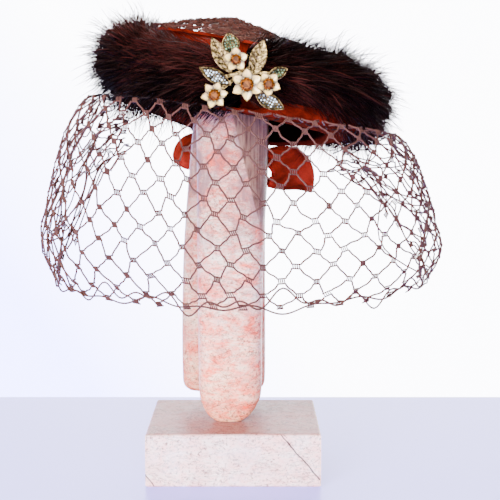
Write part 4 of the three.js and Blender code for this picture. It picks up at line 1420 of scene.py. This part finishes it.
def shaped_area(surface, columns, rows):
    """The area of a surface given by shares."""
    across, down = np.meshgrid(np.linspace(0, 1, columns + 1), np.linspace(0, 1, rows + 1))
    grid = surface(across.ravel(), down.ravel()).reshape(rows + 1, columns + 1, 3)
    wide = grid[:-1, 1:] - grid[:-1, :-1]
    tall = grid[1:, :-1] - grid[:-1, :-1]
    return float(np.linalg.norm(np.cross(wide, tall), axis=-1).sum())


def middle_length(surface):
    """How long a surface is along its middle."""
    middle = surface(np.full(200, 0.5), np.linspace(0, 1, 200))
    return np.linalg.norm(np.diff(middle, axis=0), axis=1).sum()


def knot_mesh():
    """A ball of velvet with pleats that run round it from front to back."""
    middle = (KNOT_LOW + KNOT_HIGH) / 2
    half = (KNOT_HIGH - KNOT_LOW) / 2
    ball = bmesh.new()
    bmesh.ops.create_uvsphere(ball, u_segments=48, v_segments=24, radius=1)
    for vert in ball.verts:
        x, y, z = vert.co
        pleat = 1 - 0.06 * (1 + math.sin(x * 16)) * (1 - x ** 2)
        vert.co = middle + Vector((x * half.x, y * half.y * pleat, z * half.z * pleat))
    return ball


class HAT_OT_bow(bpy.types.Operator):
    """Folds the velvet bow: two looped ribbons and a gathered knot"""

    bl_idname = "fur_hat.bow"
    bl_label = "Velvet bow"

    def execute(self, context):
        bow = settings().bow
        ribbon = velvet("ribbon_velvet", bow.velvet, bow.velvet_shaded)
        for side, loop in BOW_LOOPS.items():
            surface = bow_loop_surface(loop)
            mesh = shaped_grid(*LOOP_CELLS, surface)
            made = piece(f"ribbon_{side}", mesh, ribbon, "velvet", f"bow_loop_{side}")
            thicken(made, bow.ribbon_thickness)
            shade_smooth(made)
            run = middle_length(surface)
            cut = shaped_area(surface, *LOOP_CELLS)
        knot = piece("ribbon_knot", knot_mesh(), ribbon, "velvet", "bow_knot")
        shade_smooth(knot)
        return {"FINISHED"}


# Brooch

# Shares: x and y of the brooch's half width, long and wide of the leaf's sizes. Turn in degrees.
BROOCH_LEAVES = [
    {"name": "gold_leaf_left", "x": -0.24, "y": -0.03, "long": 1.0, "wide": 0.9, "turn": 119, "layer": 0},
    {"name": "gold_leaf_right", "x": 0.23, "y": -0.09, "long": 0.94, "wide": 0.93, "turn": 72, "layer": 0},
    {"name": "green_leaf_top", "x": -0.19, "y": 0.37, "long": 0.55, "wide": 0.96, "turn": 104, "layer": 1},
    {"name": "green_leaf_right", "x": 0.57, "y": -0.13, "long": 0.55, "wide": 0.64, "turn": 24, "layer": 0},
    {"name": "crystal_leaf_up", "x": -0.25, "y": -0.29, "long": 0.9, "wide": 0.75, "turn": 151, "layer": 0},
    {"name": "crystal_leaf_low", "x": 0.3, "y": -0.49, "long": 0.81, "wide": 0.82, "turn": -27, "layer": 0},
]
# Shares: x and y of the brooch's half width, wide of the flower's radius, stone of the stone's radius.
BROOCH_FLOWERS = [
    {"name": "top", "x": -0.13, "y": 0.25, "wide": 0.76, "stone": 0.77, "petals": 5, "turn": 20, "layer": 1},
    {"name": "left", "x": -0.61, "y": -0.52, "wide": 0.84, "stone": 0.88, "petals": 6, "turn": 10, "layer": 0},
    {"name": "middle", "x": 0.11, "y": -0.29, "wide": 1.0, "stone": 1.0, "petals": 6, "turn": 30, "layer": 0},
    {"name": "right", "x": 0.59, "y": -0.28, "wide": 0.76, "stone": 0.85, "petals": 5, "turn": 50, "layer": 1},
]
# The soldered back, how far it stands off the fur, and the gap between pieces that sit on each other.
BROOCH_PLATE = 1.6 * MM
BROOCH_OFF_FUR = 1.2 * MM
BROOCH_SEAT = 0.3 * MM
# How much farther out each layer of leaves lies, where a leaf is fullest, and its plate and rim.
LEAF_LAYER = 3.5 * MM
LEAF_FULL_AT = 0.45
LEAF_PLATE = 0.7 * MM
LEAF_RIM = 0.42 * MM
LEAF_RIM_UP = 1.1 * MM
# How far the flowers stand off the back, how much farther each layer lies, and their petals, rims and hearts.
FLOWER_STANDOFF = 6.2 * MM
FLOWER_LAYER = 4 * MM
PETAL_THICK = 0.6 * MM
PETAL_RIM = 0.3 * MM
HEART_HEIGHT = 2.2 * MM
# The small stones' distance from each other, their radius and the bare strip beside the leaf's rim.
PAVE_STEP = 2.1 * MM
PAVE_RADIUS = 0.98 * MM
PAVE_MARGIN = 0.9 * MM
# Shares of a flower's stone: out of its radius and up of its height, from its culet to its table, and its
# height as a share of its radius.
STONE_SECTIONS = [(0.75, 0.0), (1.0, 0.3), (1.0, 0.42), (0.82, 0.74), (0.55, 1.0)]
STONE_HIGH = 0.62


def pin_to_hat(right, up, height, turn):
    """The place of a piece made flat: its +Z turns to the front of the hat."""
    brooch = settings().brooch
    halo = settings().halo
    fur_front = WALL_OUT + VELVET_WALL + SEAT_GAP + 2 * settings().fur.half_depth + BROOCH_OFF_FUR
    back = Vector((halo.middle + brooch.middle, -(halo.half_depth + fur_front), halo.height))
    flat = Matrix.Translation((right * brooch.half_width, up * brooch.half_width, height))
    return (
        Matrix.Translation(back) @ Matrix.Rotation(math.radians(90), 4, "X")
        @ flat @ Matrix.Rotation(math.radians(turn), 4, "Z")
    )


def leaf_base(leaf):
    return BROOCH_PLATE + BROOCH_SEAT + leaf["layer"] * LEAF_LAYER


def flower_base(flower):
    return BROOCH_PLATE + FLOWER_STANDOFF + flower["layer"] * FLOWER_LAYER


def leaf_place(leaf):
    return pin_to_hat(leaf["x"], leaf["y"], leaf_base(leaf), leaf["turn"])


def leaf_size(leaf):
    brooch = settings().brooch
    return leaf["long"] * brooch.leaf_length, leaf["wide"] * brooch.leaf_width


def from_stalk(along, long):
    """How far from its stalk a leaf's point lies, by its share of the way to the tip."""
    return 2 * along * (1 - along) * LEAF_FULL_AT * long + along ** 2 * long


def leaf_shape(leaf, along, aside, height):
    """Points in a leaf's outline: along from stalk to tip, aside from -1 to 1 of its half width."""
    long, wide = leaf_size(leaf)
    return np.stack([from_stalk(along, long), 2 * along * (1 - along) * wide * aside, height], axis=-1)


def leaf_plate(leaf, veins):
    """A leaf's plate: cupped, with a groove down its middle and, if it is veined, slanted ridges."""

    def place(across, along):
        aside = 2 * across - 1
        height = (0.5 + 1.1 * aside ** 2 * np.sin(along * math.pi)) * MM
        if veins:
            ridges = np.sin((along * 9 - np.abs(aside) * 1.6) * FULL_TURN / 1.5)
            height += 0.3 * MM * ridges * np.sin(along * math.pi)
            height -= 0.5 * MM * np.exp(-(aside / 0.12) ** 2)
        return leaf_shape(leaf, along, aside, height)

    return shaped_grid(24 if veins else 12, 48 if veins else 24, place)


def leaf_outline(leaf, steps=40):
    """The closed line round a leaf."""
    along = np.concatenate([np.linspace(0, 1, steps), np.linspace(1, 0, steps)])
    aside = np.repeat([1.0, -1.0], steps)
    return leaf_shape(leaf, along, aside, np.full(2 * steps, LEAF_RIM_UP))


def gem_template(sides):
    """A small cut stone of radius 1: a girdle, crown facets and a table."""
    gem = bmesh.new()
    bmesh.ops.create_cone(gem, cap_ends=True, segments=sides, radius1=1, radius2=0.52, depth=0.7,
                          matrix=Matrix.Translation((0, 0, 0.35)))
    return template_of(gem)


def leaf_edge(leaf):
    """How far along a leaf its stones' edge is and how wide it is there, from stalk to tip."""
    long, wide = leaf_size(leaf)
    along = np.linspace(0, 1, 60)
    return from_stalk(along, long), along * (1 - along) * 2 * wide - PAVE_MARGIN


def pave_spots(leaf, rng):
    """The middles of the small stones in close rows, and how wide the leaf is at each."""
    long, _ = leaf_size(leaf)
    edge = leaf_edge(leaf)
    rows = int(long / PAVE_STEP)
    spots = []
    for row in range(rows):
        x = (row + 0.7) / rows * long
        half_wide = np.interp(x, *edge)
        fit = int(2 * half_wide / PAVE_STEP)
        for step in range(fit):
            y = (step - (fit - 1) / 2) * PAVE_STEP
            spots.append((x + rng.normal(0, 0.08 * MM), y, half_wide))
    return np.array(spots)


def pave_stones(leaf):
    """Small stones set close in rows, each with a tilt, a size and a brightness of its own."""
    rng = np.random.default_rng(int(1000 * abs(leaf["x"])))
    spots = pave_spots(leaf, rng)
    count = len(spots)
    corners, faces = gem_template(7)
    size = PAVE_RADIUS * rng.uniform(0.85, 1.05, count)
    cup = 0.9 * MM + 0.9 * MM * (spots[:, 1] / np.maximum(spots[:, 2], 1e-6)) ** 2
    tilt = rng.normal(0, 0.16, (count, 2))
    points = corners[None] * size[:, None, None]
    points[..., 2] += points[..., 0] * tilt[:, 0, None] + points[..., 1] * tilt[:, 1, None]
    points += np.stack([spots[:, 0], spots[:, 1], cup], axis=-1)[:, None]
    # Painted glints: each stone gets a random brightness, and its lower sides are darker, as painted shade.
    bright = rng.beta(1.1, 1.1, count)[:, None] + np.where(corners[:, 2] > 0.5, 0.0, -0.35)[None]
    uv = np.stack([np.clip(bright, 0, 1), np.zeros_like(bright)], axis=-1)
    return faces, points, uv


def moved(points, matrix):
    """Points turned and shifted by a piece's place."""
    turned = np.array(matrix.to_3x3())
    return points @ turned.T + np.array(matrix.translation)


class HAT_OT_brooch_leaves(bpy.types.Operator):
    """Makes the brooch's leaves: veined gold ones, and ones paved with clear and green stones"""

    bl_idname = "fur_hat.brooch_leaves"
    bl_label = "Brooch leaves"

    def execute(self, context):
        brooch = settings().brooch
        metal = gold()
        dark_metal = gold("dark_gold", 0.22)
        stones = {
            "crystal": cut_stone("crystal", brooch.crystal, 0.02, 0.3),
            "green": cut_stone("green_crystal", brooch.green_crystal, 0.05, 0.3),
        }
        slots = {"crystal": "crystal", "green": "green_crystal"}
        for leaf in BROOCH_LEAVES:
            name = leaf["name"]
            kind = name.split("_")[0]
            stone = stones.get(kind)
            place = leaf_place(leaf)
            plate = leaf_plate(leaf, veins=not stone)
            bmesh.ops.transform(plate, matrix=place, verts=plate.verts)
            nodes = [] if stone else [name]
            made = piece(f"{name}_plate", plate, dark_metal if stone else metal, "gold", *nodes)
            thicken(made, LEAF_PLATE)
            shade_smooth(made)
            rim = moved(leaf_outline(leaf), place)
            piece(f"{name}_rim", threads("rim", [rim], LEAF_RIM), metal, "gold")
            if stone:
                faces, points, uv = pave_stones(leaf)
                data = many_copies(f"{name}_stones", faces, moved(points, place), uv)
                piece(f"{name}_stones", data, stone, slots[kind], name)
        return {"FINISHED"}


def petal_points(radius, half_wide):
    """A cupped petal along +X, from the heart to its tip."""

    def place(across, along):
        aside = 2 * across - 1
        plump = np.sin(math.pi * np.clip(0.16 + 0.84 * along, 0, 1) ** 0.9) ** 0.62
        x = radius * (0.28 + 0.74 * along - 0.05 * aside ** 2)
        y = half_wide * aside * plump
        z = 1.2 * MM + (1.5 * along ** 1.5 + 1.2 * aside ** 2 * plump) * MM
        return np.stack([x, y, z], axis=-1)

    return place


def petal_rim(radius, half_wide):
    """The line round a petal's free edge."""
    surface = petal_points(radius, half_wide)
    up = np.linspace(0, 1, 14)
    over = np.linspace(0, 1, 10)[1:-1]
    across = np.concatenate([np.zeros(14), over, np.ones(14)])
    along = np.concatenate([up, np.ones(len(over)), up[::-1]])
    return surface(across, along)


def add_mesh(target, part):
    """Copies one mesh into another and frees it."""
    holder = bpy.data.meshes.new("part")
    part.to_mesh(holder)
    part.free()
    target.from_mesh(holder)
    bpy.data.meshes.remove(holder)


def petals_and_rims(flower, place):
    """A flower's petals as one mesh, and the lines round their free edges."""
    radius = flower["wide"] * settings().brooch.flower_radius
    half_wide = 1.9 * radius / flower["petals"]
    petals = bmesh.new()
    rims = []
    for number in range(flower["petals"]):
        turned = place @ Matrix.Rotation(number / flower["petals"] * FULL_TURN, 4, "Z")
        petal = shaped_grid(12, 12, petal_points(radius, half_wide))
        bmesh.ops.transform(petal, matrix=turned, verts=petal.verts)
        add_mesh(petals, petal)
        rims.append(moved(petal_rim(radius, half_wide), turned))
    return petals, rims


HEART_BEADS = 16
HEART_CLAWS = 6


def heart_mesh(flower, place):
    """A gold cup with a beaded edge and claws that hold the stone."""
    radius = flower["stone"] * settings().brooch.stone_radius
    heart = bmesh.new()
    cup = bmesh.ops.create_cone(
        heart, cap_ends=True, segments=24, radius1=radius * 0.8, radius2=radius * 1.12, depth=HEART_HEIGHT,
        matrix=Matrix.Translation((0, 0, HEART_HEIGHT / 2)),
    )
    edges = {edge for vert in cup["verts"] for edge in vert.link_edges}
    bmesh.ops.bevel(heart, geom=list(edges), offset=0.15 * MM, segments=2, profile=0.5,
                    affect="EDGES", material=-1)
    for number in range(HEART_BEADS):
        angle = number / HEART_BEADS * FULL_TURN
        bead = (radius * 1.12 * math.cos(angle), radius * 1.12 * math.sin(angle), HEART_HEIGHT)
        bmesh.ops.create_icosphere(heart, subdivisions=1, radius=0.5 * MM, matrix=Matrix.Translation(bead))
    for number in range(HEART_CLAWS):
        turn = Matrix.Rotation((number + 0.5) / HEART_CLAWS * FULL_TURN, 4, "Z")
        claw = turn @ Matrix.Translation((radius * 0.98, 0, HEART_HEIGHT + radius * 0.3))
        bmesh.ops.create_cone(heart, cap_ends=True, segments=8, radius1=0.6 * MM, radius2=0.32 * MM,
                              depth=radius * 0.6, matrix=claw)
    bmesh.ops.transform(heart, matrix=place, verts=heart.verts)
    return heart


def middle_of(face):
    """A face's middle to the nearest thousandth of a millimetre, which sorts faces the same way each run."""
    return tuple(round(at, 6) for at in face.calc_center_median())


def stone_mesh(flower):
    """A round cut stone: girdle, two rows of crown facets and a table."""
    radius = flower["stone"] * settings().brooch.stone_radius
    high = radius * STONE_HIGH
    stone = bmesh.new()
    first = STONE_SECTIONS[0][0]
    ring = bmesh.ops.create_circle(stone, cap_ends=True, segments=12, radius=first * radius)["verts"]
    for number, (out, up) in enumerate(STONE_SECTIONS[1:], 1):
        edges = [edge for edge in stone.edges if edge.verts[0] in ring and edge.verts[1] in ring]
        grown = bmesh.ops.extrude_edge_only(stone, edges=edges)["geom"]
        ring = [vert for vert in grown if isinstance(vert, bmesh.types.BMVert)]
        spread = out / STONE_SECTIONS[number - 1][0]
        for vert in ring:
            vert.co = Vector((vert.co.x * spread, vert.co.y * spread, up * high))
        if number > 1:
            bmesh.ops.rotate(stone, verts=ring, matrix=Matrix.Rotation(FULL_TURN / 24, 3, "Z"))
    top = [edge for edge in stone.edges if edge.is_boundary]
    bmesh.ops.holes_fill(stone, edges=top, sides=0)
    bmesh.ops.triangulate(stone, faces=stone.faces)
    bmesh.ops.recalc_face_normals(stone, faces=stone.faces)
    rng = np.random.default_rng(int(1000 * abs(flower["y"])))
    shares = stone.loops.layers.uv.new("shares")
    # Painted glints and painted shade: each facet gets a random brightness.
    for face in sorted(stone.faces, key=middle_of):
        bright = rng.uniform(0, 1)
        for loop in face.loops:
            loop[shares].uv = (bright, 0)
    height = flower_base(flower) + HEART_HEIGHT + BROOCH_SEAT
    place = pin_to_hat(flower["x"], flower["y"], height, flower["turn"])
    bmesh.ops.transform(stone, matrix=place, verts=stone.verts)
    return stone


class HAT_OT_brooch_flowers(bpy.types.Operator):
    """Makes the brooch's flowers: cupped enamel petals, a gold heart, and an amber stone in claws"""

    bl_idname = "fur_hat.brooch_flowers"
    bl_label = "Brooch flowers"

    def execute(self, context):
        brooch = settings().brooch
        cream = enamel()
        metal = gold()
        amber = cut_stone("amber", brooch.amber, 0.12, 0.08)
        for flower in BROOCH_FLOWERS:
            name = f"flower_{flower['name']}"
            place = pin_to_hat(flower["x"], flower["y"], flower_base(flower), flower["turn"])
            petals, rims = petals_and_rims(flower, place)
            made = piece(f"{name}_petals", petals, cream, "petal", name)
            thicken(made, PETAL_THICK)
            shade_smooth(made)
            piece(f"{name}_rims", threads(f"{name}_rims", rims, PETAL_RIM), metal, "gold")
            shade_smooth(piece(f"{name}_heart", heart_mesh(flower, place), metal, "gold"), 40)
            stone = stone_mesh(flower)
            piece(f"{name}_stone", stone, amber, "amber", f"amber_stone_{flower['name']}")
        return {"FINISHED"}


class HAT_OT_brooch_setting(bpy.types.Operator):
    """Finishes the brooch's soldered back in gold"""

    bl_idname = "fur_hat.brooch_setting"
    bl_label = "Brooch setting"

    def execute(self, context):
        refinish("brooch_setting", gold())
        return {"FINISHED"}


# Stage


# The soft lamps: place and size in metres, power in watts. All are aimed at one point.
LAMPS = [
    {"name": "key", "place": (-0.95, -1.7, 0.7), "size": 1.1, "power": 150},
    {"name": "front", "place": (0.35, -2.2, 0.35), "size": 1.4, "power": 105},
    {"name": "top", "place": (0.1, -0.3, 2.0), "size": 1.6, "power": 9},
]
LAMP_TARGET = (0, 0, 0.2)
ROOM_TINT = (0.93, 0.94, 1.0, 1.0)
ROOM_LIGHT = 0.6
SENSOR_WIDTH = 36


def board(name, left, right, low, high, material, matrix):
    """A flat board from its left and right and its low and high edge."""
    mesh = bmesh.new()
    corners = ((left, low), (right, low), (right, high), (left, high))
    mesh.faces.new([mesh.verts.new((x, y, 0)) for x, y in corners])
    bmesh.ops.transform(mesh, matrix=matrix, verts=mesh.verts)
    data = bpy.data.meshes.new(name)
    mesh.to_mesh(data)
    mesh.free()
    data.materials.append(material)
    made = bpy.data.objects.new(name, data)
    bpy.context.scene.collection.objects.link(made)


def lamp(name, place, size, power):
    """A square soft light aimed at the hat's stand."""
    light = bpy.data.lights.new(name, "AREA")
    light.size = size
    light.energy = power
    made = bpy.data.objects.new(name, light)
    made.visible_camera = False
    made.location = place
    aim = Vector(LAMP_TARGET) - Vector(place)
    made.rotation_euler = aim.to_track_quat("-Z", "Y").to_euler()
    bpy.context.scene.collection.objects.link(made)


def room_light(scene):
    """The even light of the room."""
    world = bpy.data.worlds.new("studio")
    world.use_nodes = True
    sockets = world.node_tree.nodes["Background"].inputs
    sockets["Color"].default_value = ROOM_TINT
    sockets["Strength"].default_value = ROOM_LIGHT
    scene.world = world


def camera(scene):
    """The photograph's camera: level sideways and tipped down."""
    stage = settings().stage
    data = bpy.data.cameras.new("camera")
    data.lens = stage.lens
    data.sensor_width = SENSOR_WIDTH
    made = bpy.data.objects.new("camera", data)
    made.location = (stage.camera_x, stage.camera_y, stage.camera_z)
    made.rotation_euler = (math.radians(90) - stage.camera_pitch, 0, 0)
    scene.collection.objects.link(made)
    scene.camera = made


class HAT_OT_stage(bpy.types.Operator):
    """Sets the pale floor and wall, the soft lights and the camera"""

    bl_idname = "fur_hat.stage"
    bl_label = "Stage"

    def execute(self, context):
        stage = settings().stage
        room = stage.room
        edge = stage.floor_edge
        upright = Matrix.Rotation(math.radians(90), 4, "X")
        pale_floor = plain_stage("floor", stage.floor, stage.floor, 0.4, stage.floor_glow)
        pale_wall = plain_stage("wall", stage.wall, stage.wall_painted_shade, 0.8, stage.wall_glow)
        behind = Matrix.Translation((0, stage.wall_y, 0)) @ upright
        board("floor", -room, room, -room, edge, pale_floor, Matrix.Identity(4))
        board("floor_end", room, -room, -room, 0, pale_floor, Matrix.Translation((0, edge, 0)) @ upright)
        board("wall", -room, room, -room, room, pale_wall, behind)
        for lit in LAMPS:
            lamp(**lit)
        room_light(context.scene)
        camera(context.scene)
        return {"FINISHED"}


class HAT_PT_panel(bpy.types.Panel):
    """Lists the hat's pieces in the order in which they are made"""

    bl_label = "Fur Hat"
    bl_idname = "HAT_PT_panel"
    bl_space_type = "VIEW_3D"
    bl_region_type = "UI"
    bl_category = "Fur Hat"

    def draw(self, context):
        for operator in OPERATORS:
            self.layout.operator(operator.bl_idname)


SETTINGS = (
    StandSettings, HaloSettings, FurSettings, NetSettings, BowSettings, BroochSettings, StageSettings,
    HatSettings,
)
OPERATORS = (
    HAT_OT_stage, HAT_OT_stand, HAT_OT_velvet_frame, HAT_OT_fur, HAT_OT_crown_net, HAT_OT_veil,
    HAT_OT_bow, HAT_OT_brooch_leaves, HAT_OT_brooch_flowers, HAT_OT_brooch_setting,
)


def register():
    for group in (*SETTINGS, *OPERATORS, HAT_PT_panel):
        bpy.utils.register_class(group)
    bpy.types.Scene.fur_hat = PointerProperty(type=HatSettings)


def unregister():
    del bpy.types.Scene.fur_hat
    for group in reversed((*SETTINGS, *OPERATORS, HAT_PT_panel)):
        bpy.utils.unregister_class(group)


def main():
    register()
    for operator in OPERATORS:
        group, name = operator.bl_idname.split(".")
        getattr(getattr(bpy.ops, group), name)()


if __name__ == "__main__":
    main()
